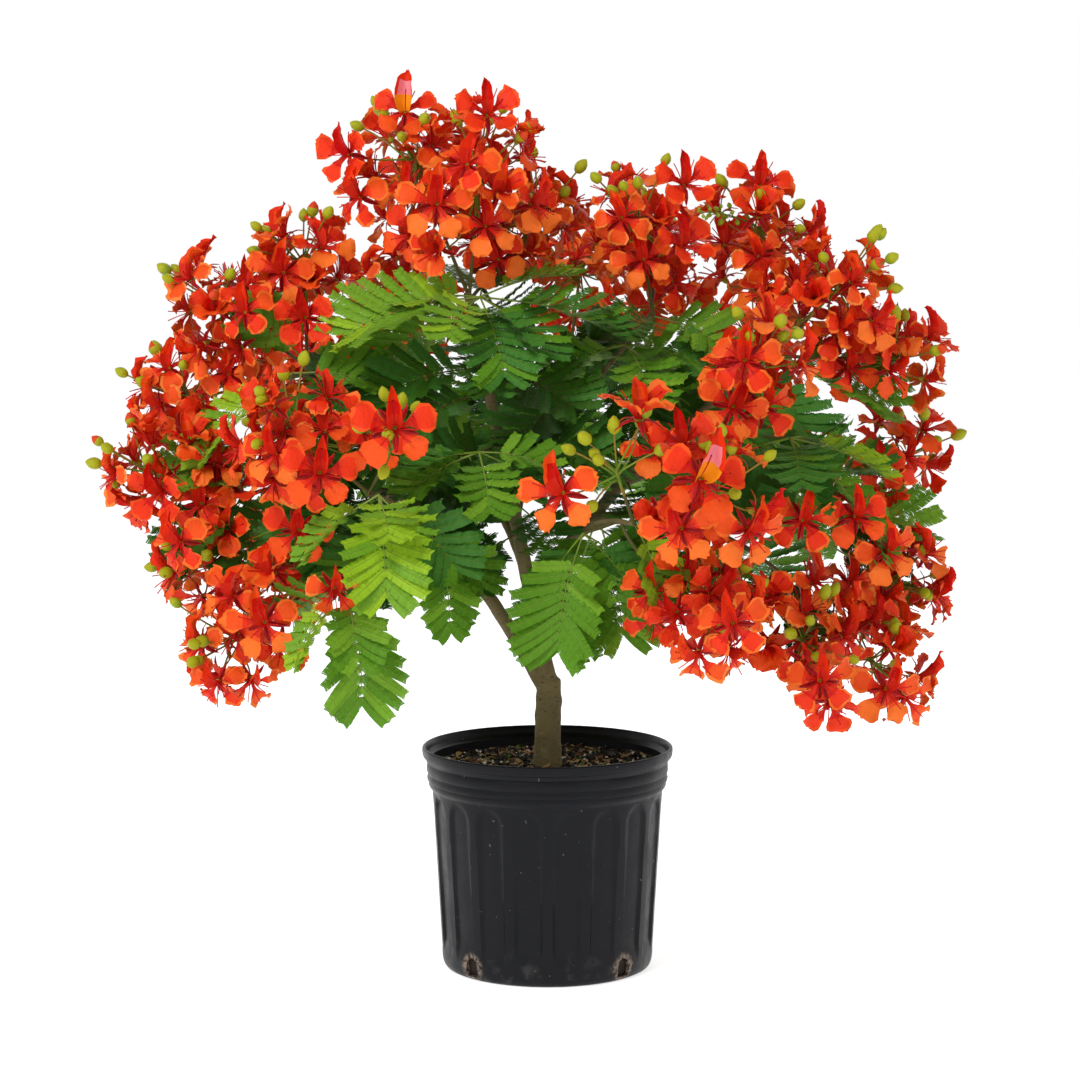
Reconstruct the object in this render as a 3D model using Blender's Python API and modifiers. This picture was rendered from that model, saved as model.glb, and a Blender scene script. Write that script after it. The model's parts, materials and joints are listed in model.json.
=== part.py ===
"""Royal poinciana sapling in full flower, standing in a ribbed nursery pot.

Metres, +Z up. The origin is the centre of the pot's flat underside, and -Y is the front.
A short trunk forks into arching boughs. Rosettes of feathery fronds and trusses of
blossom grow from the boughs' tips. Each rosette and each truss is one solid, joined from
its twigs, and it keeps clear of the wood and of every other one.

A direction is given as a bearing, in degrees from the front round towards +X, and a
pitch, in degrees above the level.
"""

import math
import random
from collections import namedtuple

import bmesh
import bpy
from mathutils import Matrix, Vector
from mathutils.bvhtree import BVHTree

UP = Vector((0.0, 0.0, 1.0))
GOLDEN_TURN = math.radians(137.508)
GOLDEN_SHARE = 0.618
NEARLY_UPRIGHT = 0.05
SMOOTH_ANGLE = math.radians(35.0)
WELD_DISTANCE = 0.00001
SEAM_DISTANCE = 0.000001

# Gaps that keep touching solids apart
FIT_GAP = 0.0004
SOIL_GAP = 0.0006
TWIG_GAP = 0.0006
SEAT_GAP = 0.0002

# Pot
POT_HEIGHT = 0.250
POT_FLUTES = 18
FLUTE_DEPTH = 0.0020
LAND_HALF_ANGLE = 3.2
FLUTE_EDGE_ANGLE = 4.6
PotRing = namedtuple("PotRing", "radius height sunk")
POT_WALL = (
    PotRing(0.1298, 0.2060, 0.0),
    PotRing(0.1296, 0.1980, 0.0),
    PotRing(0.1292, 0.1930, 1.0),
    PotRing(0.1198, 0.0240, 1.0),
    PotRing(0.1182, 0.0050, 0.0),
    PotRing(0.1130, 0.0000, 0.0),
)
POT_LIP = (
    (0.1392, POT_HEIGHT),
    (0.1414, 0.2480),
    (0.1410, 0.2395),
    (0.1364, 0.2360),
    (0.1354, 0.2120),
    (0.1326, 0.2085),
    (0.1322, 0.2020),
    (0.1300, 0.1990),
)
POT_INSIDE = (
    (0.1366, POT_HEIGHT + 0.001),
    (0.1355, 0.2400),
    (0.1312, 0.2370),
    (0.1300, 0.2130),
    (0.1252, 0.1980),
    (0.1142, 0.0060),
    (0.1088, 0.0028),
)
TURNED_STEPS = 36
SOIL_TOP = 0.2245

# Drainage holes at the foot of the pot's wall
DRAIN_WIDTH = 0.017
DRAIN_FOOT = 0.0045
DRAIN_HEIGHT = 0.0210
DRAIN_REACH = 0.008
DRAIN_BEARINGS = (45.0, 135.0, 225.0, 315.0)
DRAIN_ARC_STEPS = 4

# Trunk
TRUNK_FORK_HEIGHT = 0.325
TRUNK_LEAN = 0.002
TRUNK_PLUMB_SHARE = 0.06
TRUNK_FOOT_RADIUS = 0.0190
TRUNK_RADIUS = 0.0152
TRUNK_FORK_RADIUS = 0.0138
TRUNK_FLARE_HEIGHT = 0.010
TRUNK_RINGS = 7
TRUNK_RING_CROWDING = 1.6
TRUNK_ROUNDNESS = 4

# Boughs: where each starts along its parent, which way it runs and how far, how much it
# arches as a share of its run, and its radius at the foot
Bough = namedtuple("Bough", "parent station bearing pitch run arch foot")
BOUGHS = {
    "leader": Bough("trunk", 0.93, -72, 78, 0.457, 0.02, 0.0094),
    "bough_left_high": Bough("trunk", 0.90, -90, 54, 0.458, 0.05, 0.0084),
    "bough_left_out": Bough("bough_left_high", 0.50, -78, 6, 0.200, 0.10, 0.0052),
    "bough_front_left": Bough("bough_left_high", 0.33, -27, 24, 0.245, 0.06, 0.0058),
    "bough_left_low": Bough("bough_left_high", 0.25, -52, 11, 0.213, 0.10, 0.0050),
    "bough_right_high": Bough("leader", 0.24, 89, 44, 0.377, 0.05, 0.0072),
    "bough_mid": Bough("leader", 0.45, 105, 52, 0.265, 0.05, 0.0052),
    "bough_front_right": Bough("bough_right_high", 0.15, 20, 12, 0.210, 0.06, 0.0054),
    "bough_right_mid": Bough("bough_right_high", 0.40, 99, -7, 0.237, 0.12, 0.0048),
    "bough_right_low": Bough("bough_right_high", 0.25, 66, -12, 0.227, 0.12, 0.0048),
    "bough_right_front": Bough("bough_right_high", 0.50, 37, 13, 0.145, 0.06, 0.0046),
    "bough_back_left": Bough("leader", 0.30, -152, 34, 0.352, 0.08, 0.0060),
    "bough_back_mid": Bough("leader", 0.42, 167, 32, 0.342, 0.08, 0.0056),
    "bough_back_right": Bough("bough_right_high", 0.30, 152, 17, 0.306, 0.08, 0.0056),
    "bough_back_low": Bough("bough_left_high", 0.30, -140, 12, 0.240, 0.10, 0.0050),
}
BOUGH_TIP_SHARE = 0.52
BOUGH_RINGS = 7
BOUGH_ROUNDNESS = 2

# Rosettes of fronds: a short stem from a bough, and each frond's bearing, pitch and length
Rosette = namedtuple("Rosette", "bough station bearing pitch stem fronds")
ROSETTES = {
    "leaves_top": Rosette("leader", 1.00, 30, -10, 0.030, (
        (-84, -6, 0.150), (20, -36, 0.115), (82, -6, 0.155), (105, 22, 0.105),
        (-118, -22, 0.140), (165, -8, 0.130))),
    "leaves_front": Rosette("leader", 0.60, -12, 0, 0.104, (
        (10, -28, 0.095), (-78, -20, 0.085), (96, -24, 0.085))),
    "leaves_front_left": Rosette("bough_front_left", 1.00, 12, 5, 0.070, (
        (10, -48, 0.115), (-78, -30, 0.100))),
    "leaves_low_left": Rosette("bough_front_left", 0.45, 22, -5, 0.045, (
        (15, -55, 0.110), (-80, -24, 0.080))),
    "leaves_left_hang": Rosette("bough_left_low", 1.00, 13, -4, 0.070, (
        (40, -70, 0.125), (-66, -46, 0.100))),
    "leaves_low_right": Rosette("bough_front_right", 0.72, -60, -15, 0.040, (
        (-30, -54, 0.130), (112, -42, 0.100))),
    "leaves_right": Rosette("bough_right_front", 1.00, 90, -4, 0.060, (
        (73, -40, 0.165), (84, -12, 0.110), (18, -30, 0.110), (-60, 2, 0.100))),
    "leaves_up_right": Rosette("bough_mid", 0.92, -24, -20, 0.050, (
        (84, -8, 0.110), (18, -24, 0.100), (-150, 6, 0.110))),
    "leaves_left": Rosette("bough_left_high", 1.00, -15, -9, 0.050, (
        (-80, -34, 0.140), (98, 14, 0.090), (172, -10, 0.120))),
    "leaves_back_left": Rosette("bough_back_left", 0.75, 178, -20, 0.040, (
        (-176, -40, 0.130), (-108, -24, 0.130), (140, -20, 0.120))),
    "leaves_back_mid": Rosette("bough_back_mid", 0.80, 170, -30, 0.035, (
        (176, -42, 0.130), (104, -16, 0.125), (-122, -18, 0.125))),
    "leaves_back_right": Rosette("bough_back_right", 0.75, 130, -20, 0.040, (
        (160, -44, 0.130), (80, -26, 0.120), (-138, -30, 0.120))),
}
FROND_PAIRS = 5
FROND_PETIOLE_SHARE = 0.26
FROND_DROOP = 26.0
PINNA_LENGTH_SHARE = 0.52
PINNA_LONGEST = 0.070
PINNA_SWEEP = 58.0
PINNA_DROOP = 14.0
PINNA_TIP_SHARE = 0.62
PINNA_SKEW = 0.97
PINNA_LEAST = 0.55
RIB_HALF_WIDTH = 0.0022
BLADE_THICKNESS = 0.0020
FROND_SWINGS = ((0, 0), (10, 0), (-10, 0), (0, 12), (0, -12), (20, 6), (-20, 6), (32, 0), (-32, 0))

# Trusses of blossom: a stem from a bough to the head, the reach of the flowers round the
# head, and how many flowers and buds it holds
Truss = namedtuple("Truss", "bough station bearing pitch stem reach flowers buds")
TRUSSES = {
    "blossom_front": Truss("bough_front_right", 1.0, -10, 27, 0.150, 0.068, 2, 3),
    "blossom_front_left_single": Truss("bough_front_left", 1.0, 15, 26, 0.150, 0.050, 1, 3),
    "blossom_front_right": Truss("bough_front_right", 0.90, 40, 16, 0.150, 0.072, 3, 1),
    "blossom_front_low": Truss("bough_front_right", 0.80, 62, -38, 0.150, 0.062, 3, 0),
    "blossom_front_left": Truss("bough_front_left", 1.0, -90, 40, 0.108, 0.079, 4, 2),
    "blossom_front_right_up": Truss("bough_right_front", 1.0, 11, 40, 0.133, 0.064, 3, 1),
    "blossom_top_left": Truss("leader", 1.0, -130, 61, 0.180, 0.080, 4, 1),
    "blossom_top_front": Truss("leader", 1.0, 25, 76, 0.142, 0.080, 4, 1),
    "blossom_top_back": Truss("leader", 1.0, 130, 38, 0.137, 0.070, 3, 1),
    "blossom_upper_left": Truss("bough_left_high", 1.0, -165, 80, 0.120, 0.073, 4, 1),
    "blossom_left_shoulder": Truss("bough_left_high", 1.0, -90, 34, 0.118, 0.073, 3, 2),
    "blossom_left_outer": Truss("bough_left_high", 1.0, -104, -16, 0.160, 0.068, 3, 1),
    "blossom_left_tip": Truss("bough_left_out", 1.0, -88, 12, 0.118, 0.062, 3, 1),
    "blossom_left_low": Truss("bough_left_out", 1.0, -67, -54, 0.095, 0.066, 3, 1),
    "blossom_left_foot": Truss("bough_left_low", 1.0, -90, -34, 0.136, 0.072, 4, 1),
    "blossom_right_low": Truss("bough_right_low", 1.0, 20, -44, 0.106, 0.064, 3, 1),
    "blossom_right_foot": Truss("bough_right_low", 1.0, 98, -44, 0.165, 0.066, 3, 0),
    "blossom_right_outer_low": Truss("bough_right_mid", 1.0, 66, -50, 0.120, 0.070, 3, 1),
    "blossom_right_far": Truss("bough_right_mid", 1.0, 128, 22, 0.140, 0.066, 3, 1),
    "blossom_right_outer": Truss("bough_right_high", 1.0, 94, -2, 0.148, 0.067, 3, 1),
    "blossom_right_shoulder": Truss("bough_right_high", 1.0, 58, 44, 0.110, 0.080, 4, 2),
    "blossom_upper_right": Truss("bough_right_high", 1.0, -170, 68, 0.150, 0.079, 4, 1),
    "blossom_upper_mid": Truss("bough_mid", 1.0, -31, 72, 0.112, 0.078, 3, 1),
    "blossom_centre_back": Truss("bough_mid", 1.0, 176, 28, 0.140, 0.072, 3, 1),
    "blossom_back_left_up": Truss("bough_back_left", 1.0, -170, 52, 0.130, 0.074, 4, 1),
    "blossom_back_left_out": Truss("bough_back_left", 1.0, -112, -2, 0.140, 0.070, 4, 1),
    "blossom_back_mid_up": Truss("bough_back_mid", 1.0, 172, 46, 0.130, 0.076, 4, 1),
    "blossom_back_right_up": Truss("bough_back_right", 1.0, 146, 40, 0.130, 0.074, 4, 1),
    "blossom_back_right_low": Truss("bough_back_right", 1.0, 118, -34, 0.140, 0.070, 4, 1),
    "blossom_back_low": Truss("bough_back_low", 1.0, -128, -30, 0.140, 0.072, 4, 1),
}
CROWN_HEART = Vector((0.0, 0.0, 0.50))
TRUSS_LIFT = 0.25
TRUSS_DOME = 100.0
TRUSS_TRIES = 40
FLOWER_SHY = 0.2
FLOWER_TURN_OUT = 0.6
BUD_REACH_SHARE = 0.8
FLOWER_RADIUS = 0.0400
FLOWER_SIZE_SPREAD = 0.08
FLOWER_PETALS = 5
FLOWER_CUP = 0.0070
FLOWER_THROAT = 0.0045
FLOWER_BACK = 0.0050
# The corners of one petal: swing from its middle, share of the radius, lift
PETAL_CORNERS = (
    (-36.0, 0.22, 0.0),
    (-19.0, 1.0, FLOWER_CUP),
    (19.0, 1.0, FLOWER_CUP),
)
CALYX_RADIUS = 0.0034
FLOWER_SPREAD = 68.0
BUD_SPREAD = 38.0
BUD_LENGTH = 0.020
BUD_RADIUS = 0.0072
STEM_FOOT_RADIUS = 0.0022
STEM_HEAD_RADIUS = 0.0017
STEM_RINGS = 4
STEM_LEAN = 0.5
STEM_BEND_SHARE = 0.35
PEDICEL_RADIUS = 0.0013
TWIG_SIDES = 3
TRUSS_KNOB_RADIUS = 0.0055
ROSETTE_KNOB_RADIUS = 0.0070
SEAT_STEP = 0.035
SEAT_TRIES = 8
SEAT_SWINGS = (0, 50, -50, 100, -100, 150, -150)

# Finishes: colour, roughness
FINISHES = {
    "pot": ((0.020, 0.021, 0.025), 0.42),
    "soil": ((0.060, 0.032, 0.018), 0.95),
    "bark": ((0.230, 0.170, 0.115), 0.85),
    "leaf": ((0.045, 0.220, 0.035), 0.60),
    "blossom": ((0.800, 0.060, 0.012), 0.50),
}

Limb = namedtuple("Limb", "route radii solid cutter")


def clear_scene():
    """Start from an empty scene."""
    for thing in list(bpy.data.objects):
        bpy.data.objects.remove(thing, do_unlink=True)


def new_collection(name):
    """A collection under the scene."""
    group = bpy.data.collections.new(name)
    bpy.context.scene.collection.children.link(group)
    return group


def finish(name, kind):
    """A plain material of one of the object's finishes."""
    colour, roughness = FINISHES[kind]
    material = bpy.data.materials.new(name)
    material.use_nodes = True
    shader = material.node_tree.nodes["Principled BSDF"]
    shader.inputs["Base Color"].default_value = (*colour, 1.0)
    shader.inputs["Roughness"].default_value = roughness
    material.diffuse_color = (*colour, 1.0)
    return material


def add_object(name, mesh, group):
    """An object for a mesh, in a collection."""
    thing = bpy.data.objects.new(name, mesh)
    group.objects.link(thing)
    return thing


def add_node(name, mesh, kind, group):
    """A finished, smooth-shaded solid of the object, with a material of its own."""
    mesh.name = name
    mesh.materials.clear()
    mesh.materials.append(finish(name, kind))
    mesh.shade_smooth()
    mesh.set_sharp_from_angle(angle=SMOOTH_ANGLE)
    return add_object(name, mesh, group)


def add_cutter(name, mesh, group):
    """A solid that only cuts others."""
    thing = add_object(name, mesh, group)
    thing.hide_render = True
    thing.display_type = "WIRE"
    return thing


def evaluated_mesh(thing):
    """The object's mesh with its modifiers applied."""
    bpy.context.view_layer.update()
    depsgraph = bpy.context.evaluated_depsgraph_get()
    return bpy.data.meshes.new_from_object(thing.evaluated_get(depsgraph))


def take_evaluated(thing):
    """The evaluated mesh of an object that is then removed."""
    mesh = evaluated_mesh(thing)
    bpy.data.objects.remove(thing, do_unlink=True)
    return mesh


def mesh_from(shape):
    """A mesh made from a bmesh."""
    mesh = bpy.data.meshes.new("shape")
    shape.to_mesh(mesh)
    return mesh


def shape_from(mesh):
    """A bmesh made from a mesh."""
    shape = bmesh.new()
    shape.from_mesh(mesh)
    return shape


def toward(bearing, pitch):
    """The unit direction for a bearing and a pitch in degrees."""
    turn = math.radians(bearing)
    rise = math.radians(pitch)
    level = math.cos(rise)
    return Vector((math.sin(turn) * level, -math.cos(turn) * level, math.sin(rise)))


def square_to(direction):
    """A unit vector square to a direction, level where it can be."""
    side = direction.cross(UP)
    if side.length < NEARLY_UPRIGHT:
        side = direction.cross(Vector((0.0, 1.0, 0.0)))
    return side.normalized()


def frame_at(place, direction, turn=0.0):
    """The matrix that puts local +Z along a direction at a place, turned about it."""
    side = square_to(direction)
    other = direction.cross(side)
    turned = side * math.cos(turn) + other * math.sin(turn)
    matrix = Matrix((turned, direction.cross(turned), direction)).transposed().to_4x4()
    matrix.translation = place
    return matrix


def limb_mesh(route, radii, roundness):
    """A round tapering limb along a route, as one closed mesh."""
    curve = bpy.data.curves.new("limb", "CURVE")
    curve.dimensions = "3D"
    curve.bevel_depth = 1.0
    curve.bevel_resolution = roundness
    curve.use_fill_caps = True
    spline = curve.splines.new("POLY")
    spline.points.add(len(route) - 1)
    for point, place, radius in zip(spline.points, route, radii):
        point.co = (*place, 1.0)
        point.radius = radius
    guide = add_object("limb", curve, bpy.context.scene.collection)
    mesh = take_evaluated(guide)
    bpy.data.curves.remove(curve)
    shape = shape_from(mesh)
    bmesh.ops.remove_doubles(shape, verts=shape.verts, dist=WELD_DISTANCE)
    bmesh.ops.recalc_face_normals(shape, faces=shape.faces)
    shape.to_mesh(mesh)
    shape.free()
    return mesh


def fattened(route, radii, gap):
    """The same route and radii, grown by a gap all round and past both ends."""
    first = route[0] + (route[0] - route[1]).normalized() * gap
    last = route[-1] + (route[-1] - route[-2]).normalized() * gap
    return [first, *route[1:-1], last], [radius + gap for radius in radii]


def place_on(route, station):
    """The point and the direction of a route at a share of its length."""
    along = station * (len(route) - 1)
    index = min(int(along), len(route) - 2)
    start = route[index]
    step = route[index + 1] - start
    return start + step * (along - index), step.normalized()


def largest_piece(mesh):
    """Drop every loose scrap, so that the mesh is one body."""
    shape = shape_from(mesh)
    bmesh.ops.remove_doubles(shape, verts=shape.verts, dist=SEAM_DISTANCE)
    unseen = set(shape.verts)
    pieces = []
    while unseen:
        piece = {unseen.pop()}
        reached = list(piece)
        while reached:
            vertex = reached.pop()
            for edge in vertex.link_edges:
                other = edge.other_vert(vertex)
                if other in unseen:
                    unseen.discard(other)
                    piece.add(other)
                    reached.append(other)
        pieces.append(piece)
    keep = max(pieces, key=len)
    scraps = [vertex for vertex in shape.verts if vertex not in keep]
    bmesh.ops.delete(shape, geom=scraps, context="VERTS")
    closed = all(len(edge.link_faces) == 2 for edge in shape.edges)
    shape.to_mesh(mesh)
    shape.free()
    return mesh, closed


def combined(mesh, others, operation):
    """A mesh cut by, or joined with, every object of a collection."""
    for solver in ("EXACT", "MANIFOLD"):
        thing = add_object("combined", mesh, bpy.context.scene.collection)
        modifier = thing.modifiers.new("combine", "BOOLEAN")
        modifier.operation = operation
        modifier.operand_type = "COLLECTION"
        modifier.collection = others
        modifier.solver = solver
        result, closed = largest_piece(take_evaluated(thing))
        if closed:
            break
    return result


def cut_by(mesh, cutters):
    """A mesh with other solids cut away from it."""
    group = new_collection("cut")
    for cutter in cutters:
        group.objects.link(cutter)
    result = combined(mesh, group, "DIFFERENCE")
    bpy.data.collections.remove(group)
    return result


def knob_shape(place, radius):
    """The small swelling at a stem's head that its twigs grow from."""
    shape = bmesh.new()
    bmesh.ops.create_uvsphere(shape, u_segments=4, v_segments=2, radius=radius)
    shape.transform(Matrix.Translation(place))
    return shape


def joined(mesh, shapes):
    """A mesh joined with bmesh shapes by one union; the shapes' objects are removed."""
    group = new_collection("twigs")
    for shape in shapes:
        add_object("twig", mesh_from(shape), group)
        shape.free()
    result = combined(mesh, group, "UNION")
    for thing in list(group.objects):
        bpy.data.objects.remove(thing, do_unlink=True)
    bpy.data.collections.remove(group)
    return result


class Room:
    """The space that finished solids take up, for trying new twigs against."""

    def __init__(self):
        self.taken = []

    def take(self, owner, mesh):
        """Remember a solid that an owner has made."""
        shape = shape_from(mesh)
        self.taken.append((owner, *self.hull_of(shape)))
        shape.free()

    def is_free(self, owner, shape, gap):
        """Whether a shape, grown by a gap, touches nothing of any other owner."""
        grown = shape.copy()
        grown.normal_update()
        normals = [vertex.normal.copy() for vertex in grown.verts]
        for vertex, normal in zip(grown.verts, normals):
            vertex.co += normal * gap
        tree, low, high = self.hull_of(grown)
        grown.free()
        for other, other_tree, other_low, other_high in self.taken:
            apart = any(high[axis] < other_low[axis] or low[axis] > other_high[axis]
                        for axis in range(3))
            if other != owner and not apart and tree.overlap(other_tree):
                return False
        return True

    @staticmethod
    def hull_of(shape):
        """A search tree of a shape, with its lowest and highest corners."""
        places = [vertex.co for vertex in shape.verts]
        low = [min(place[axis] for place in places) for axis in range(3)]
        high = [max(place[axis] for place in places) for axis in range(3)]
        return BVHTree.FromBMesh(shape), low, high


def turned_mesh(profile):
    """A solid turned about Z from a profile that runs from its top down to its foot."""
    mesh = bpy.data.meshes.new("profile")
    places = [(radius, 0.0, height) for radius, height in profile]
    edges = [(index, index + 1) for index in range(len(places) - 1)]
    mesh.from_pydata(places, edges, [])
    thing = add_object("turned", mesh, bpy.context.scene.collection)
    screw = thing.modifiers.new("turn", "SCREW")
    screw.steps = TURNED_STEPS
    screw.render_steps = TURNED_STEPS
    screw.use_merge_vertices = True
    screw.merge_threshold = WELD_DISTANCE
    solid = take_evaluated(thing)
    shape = shape_from(solid)
    bmesh.ops.remove_doubles(shape, verts=shape.verts, dist=WELD_DISTANCE)
    bmesh.ops.recalc_face_normals(shape, faces=shape.faces)
    shape.to_mesh(solid)
    shape.free()
    return solid


def pot_inner_radius(height):
    """The radius of the pot's inner wall at a height."""
    for (upper_radius, upper), (lower_radius, lower) in zip(POT_INSIDE, POT_INSIDE[1:]):
        if lower <= height <= upper:
            share = (height - lower) / (upper - lower)
            return lower_radius + (upper_radius - lower_radius) * share
    raise ValueError("height outside the pot")


def fluted_wall_mesh():
    """The pot's wall below its lip: rings of flutes and lands, lofted to the underside."""
    shape = bmesh.new()
    flute = 360.0 / POT_FLUTES
    corners = (
        (-LAND_HALF_ANGLE, 0.0),
        (LAND_HALF_ANGLE, 0.0),
        (FLUTE_EDGE_ANGLE, FLUTE_DEPTH),
        (flute - FLUTE_EDGE_ANGLE, FLUTE_DEPTH),
    )
    rings = []
    for ring in POT_WALL:
        verts = []
        for index in range(POT_FLUTES):
            for angle, depth in corners:
                radius = ring.radius - depth * ring.sunk
                place = toward(index * flute + angle, 0.0) * radius
                verts.append(shape.verts.new((place.x, place.y, ring.height)))
        rings.append(verts)
    for upper, lower in zip(rings, rings[1:]):
        for index in range(len(upper)):
            after = (index + 1) % len(upper)
            shape.faces.new((upper[index], lower[index], lower[after], upper[after]))
    shape.faces.new(rings[0])
    shape.faces.new(rings[-1])
    bmesh.ops.recalc_face_normals(shape, faces=shape.faces)
    mesh = mesh_from(shape)
    shape.free()
    return mesh


def drain_cutter(bearing, group):
    """An arched block that cuts one drainage hole through the foot of the wall."""
    half = DRAIN_WIDTH / 2.0
    shoulder = DRAIN_HEIGHT - half
    outline = [(-half, 0.0), (half, 0.0)]
    for step in range(DRAIN_ARC_STEPS + 1):
        angle = math.pi * step / DRAIN_ARC_STEPS
        outline.append((half * math.cos(angle), shoulder + half * math.sin(angle)))
    curve = bpy.data.curves.new("drain", "CURVE")
    curve.dimensions = "2D"
    curve.fill_mode = "BOTH"
    curve.extrude = DRAIN_REACH
    spline = curve.splines.new("POLY")
    spline.points.add(len(outline) - 1)
    spline.use_cyclic_u = True
    for point, (across, rise) in zip(spline.points, outline):
        point.co = (across, rise, 0.0, 1.0)
    guide = add_object("drain", curve, bpy.context.scene.collection)
    outward = toward(bearing, 0.0)
    side = UP.cross(outward)
    matrix = Matrix((side, UP, outward)).transposed().to_4x4()
    matrix.translation = outward * POT_WALL[-2].radius + UP * DRAIN_FOOT
    guide.matrix_world = matrix
    mesh = evaluated_mesh(guide)
    mesh.transform(matrix)
    bpy.data.objects.remove(guide, do_unlink=True)
    bpy.data.curves.remove(curve)
    shape = shape_from(mesh)
    bmesh.ops.remove_doubles(shape, verts=shape.verts, dist=WELD_DISTANCE)
    bmesh.ops.recalc_face_normals(shape, faces=shape.faces)
    shape.to_mesh(mesh)
    shape.free()
    return add_cutter(f"drain_{int(bearing)}", mesh, group)


def make_pot(parts, cutters):
    """The nursery pot: fluted wall, rolled lip, flat floor and four drainage holes."""
    hollow_profile = [(0.0, POT_INSIDE[0][1]), *POT_INSIDE, (0.0, POT_INSIDE[-1][1])]
    hollow = add_cutter("pot_hollow", turned_mesh(hollow_profile), cutters)
    drains = [drain_cutter(bearing, cutters) for bearing in DRAIN_BEARINGS]
    lip = shape_from(turned_mesh([(0.0, POT_HEIGHT), *POT_LIP, (0.0, POT_LIP[-1][1])]))
    outside = joined(fluted_wall_mesh(), [lip])
    wall = cut_by(outside, [hollow])
    return add_node("pot", cut_by(wall, drains), "pot", parts)


def make_soil(parts):
    """The potting mix, filling the pot to a little under its rim."""
    floor = POT_INSIDE[-1][1]
    profile = [(0.0, SOIL_TOP), (pot_inner_radius(SOIL_TOP) - SOIL_GAP, SOIL_TOP)]
    for radius, height in POT_INSIDE:
        if floor < height < SOIL_TOP:
            profile.append((radius - SOIL_GAP, height))
    foot = floor + FIT_GAP
    profile.append((pot_inner_radius(foot) - SOIL_GAP, foot))
    profile.append((0.0, foot))
    return add_node("soil", turned_mesh(profile), "soil", parts)


def trunk_limb():
    """The trunk's route and radii: a flared foot, then a slow taper up to the fork."""
    foot = SOIL_TOP + FIT_GAP
    route = []
    radii = []
    for ring in range(TRUNK_RINGS):
        share = (ring / (TRUNK_RINGS - 1)) ** TRUNK_RING_CROWDING
        height = foot + (TRUNK_FORK_HEIGHT - foot) * share
        lean = TRUNK_LEAN * max(0.0, share - TRUNK_PLUMB_SHARE)
        taper = TRUNK_RADIUS + (TRUNK_FORK_RADIUS - TRUNK_RADIUS) * share
        flare = (TRUNK_FOOT_RADIUS - TRUNK_RADIUS) * math.exp(
            -(height - foot) / TRUNK_FLARE_HEIGHT)
        route.append(Vector((lean, 0.0, height)))
        radii.append(taper + flare)
    return route, radii


def bough_limb(bough, parent):
    """A bough's route and radii: it starts in its parent and arches over to its tip."""
    start, _ = place_on(parent.route, bough.station)
    run = toward(bough.bearing, bough.pitch) * bough.run
    route = []
    radii = []
    for ring in range(BOUGH_RINGS):
        share = ring / (BOUGH_RINGS - 1)
        arch = UP * bough.arch * bough.run * 4.0 * share * (1.0 - share)
        route.append(start + run * share + arch)
        radii.append(bough.foot * (1.0 + (BOUGH_TIP_SHARE - 1.0) * share))
    return route, radii


def make_wood(parts, cutters, room):
    """The trunk and the boughs, each cut clear of the wood that came before it."""
    limbs = {}

    def add_limb(name, route, radii, roundness):
        mesh = limb_mesh(route, radii, roundness)
        if limbs:
            mesh = cut_by(mesh, [limb.cutter for limb in limbs.values()])
        solid = add_node(name, mesh, "bark", parts)
        wide = limb_mesh(*fattened(route, radii, FIT_GAP), roundness)
        cutter = add_cutter(f"{name}_room", wide, cutters)
        limbs[name] = Limb(route, radii, solid, cutter)
        room.take(name, mesh)

    add_limb("trunk", *trunk_limb(), TRUNK_ROUNDNESS)
    for name, bough in BOUGHS.items():
        add_limb(name, *bough_limb(bough, limbs[bough.parent]), BOUGH_ROUNDNESS)
    return limbs


def stem_route(foot, along, head, swing, at_tip):
    """A stem's route: it leaves its bough sideways, or straight on at the tip."""
    direct = head - foot
    side = direct - along * direct.dot(along)
    if side.length < NEARLY_UPRIGHT * direct.length:
        side = square_to(along)
    side = Matrix.Rotation(math.radians(swing), 3, along) @ side.normalized()
    leave = direct if at_tip else side + along * STEM_LEAN
    bend = foot + leave.normalized() * direct.length * STEM_BEND_SHARE
    route = []
    for ring in range(STEM_RINGS):
        share = ring / (STEM_RINGS - 1)
        lower = foot.lerp(bend, share)
        upper = bend.lerp(head, share)
        route.append(lower.lerp(upper, share))
    return route


def stem_choices(limb, mass):
    """The stems a mass may have: straight on from the tip first, then down the bough."""
    tip, _ = place_on(limb.route, mass.station)
    head = tip + toward(mass.bearing, mass.pitch) * mass.stem
    for seat in range(SEAT_TRIES):
        foot, along = place_on(limb.route, mass.station - seat * SEAT_STEP)
        at_tip = seat == 0 and mass.station == 1.0
        for swing in SEAT_SWINGS[:1] if at_tip else SEAT_SWINGS:
            yield stem_route(foot, along, head, swing, at_tip)


def seated_stem(name, limb, mass, room):
    """The stem of a mass on the first seat of its bough that is clear of the others."""
    taper = STEM_HEAD_RADIUS - STEM_FOOT_RADIUS
    radii = [STEM_FOOT_RADIUS + taper * ring / (STEM_RINGS - 1)
             for ring in range(STEM_RINGS)]
    for route in stem_choices(limb, mass):
        mesh = cut_by(limb_mesh(route, radii, 0), [limb.cutter])
        shape = shape_from(mesh)
        free = room.is_free(name, shape, SEAT_GAP)
        shape.free()
        if free:
            room.take(name, mesh)
            return mesh, route[-1]
    raise ValueError(f"no free seat for the stem of {name}")


def ring_at(shape, place, direction, radius):
    """A ring of a twig's corners, square to a direction."""
    frame = frame_at(place, direction)
    ring = []
    for corner in range(TWIG_SIDES):
        turn = 2.0 * math.pi * corner / TWIG_SIDES
        offset = Vector((math.cos(turn), math.sin(turn), 0.0)) * radius
        ring.append(shape.verts.new(frame @ offset))
    return ring


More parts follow.
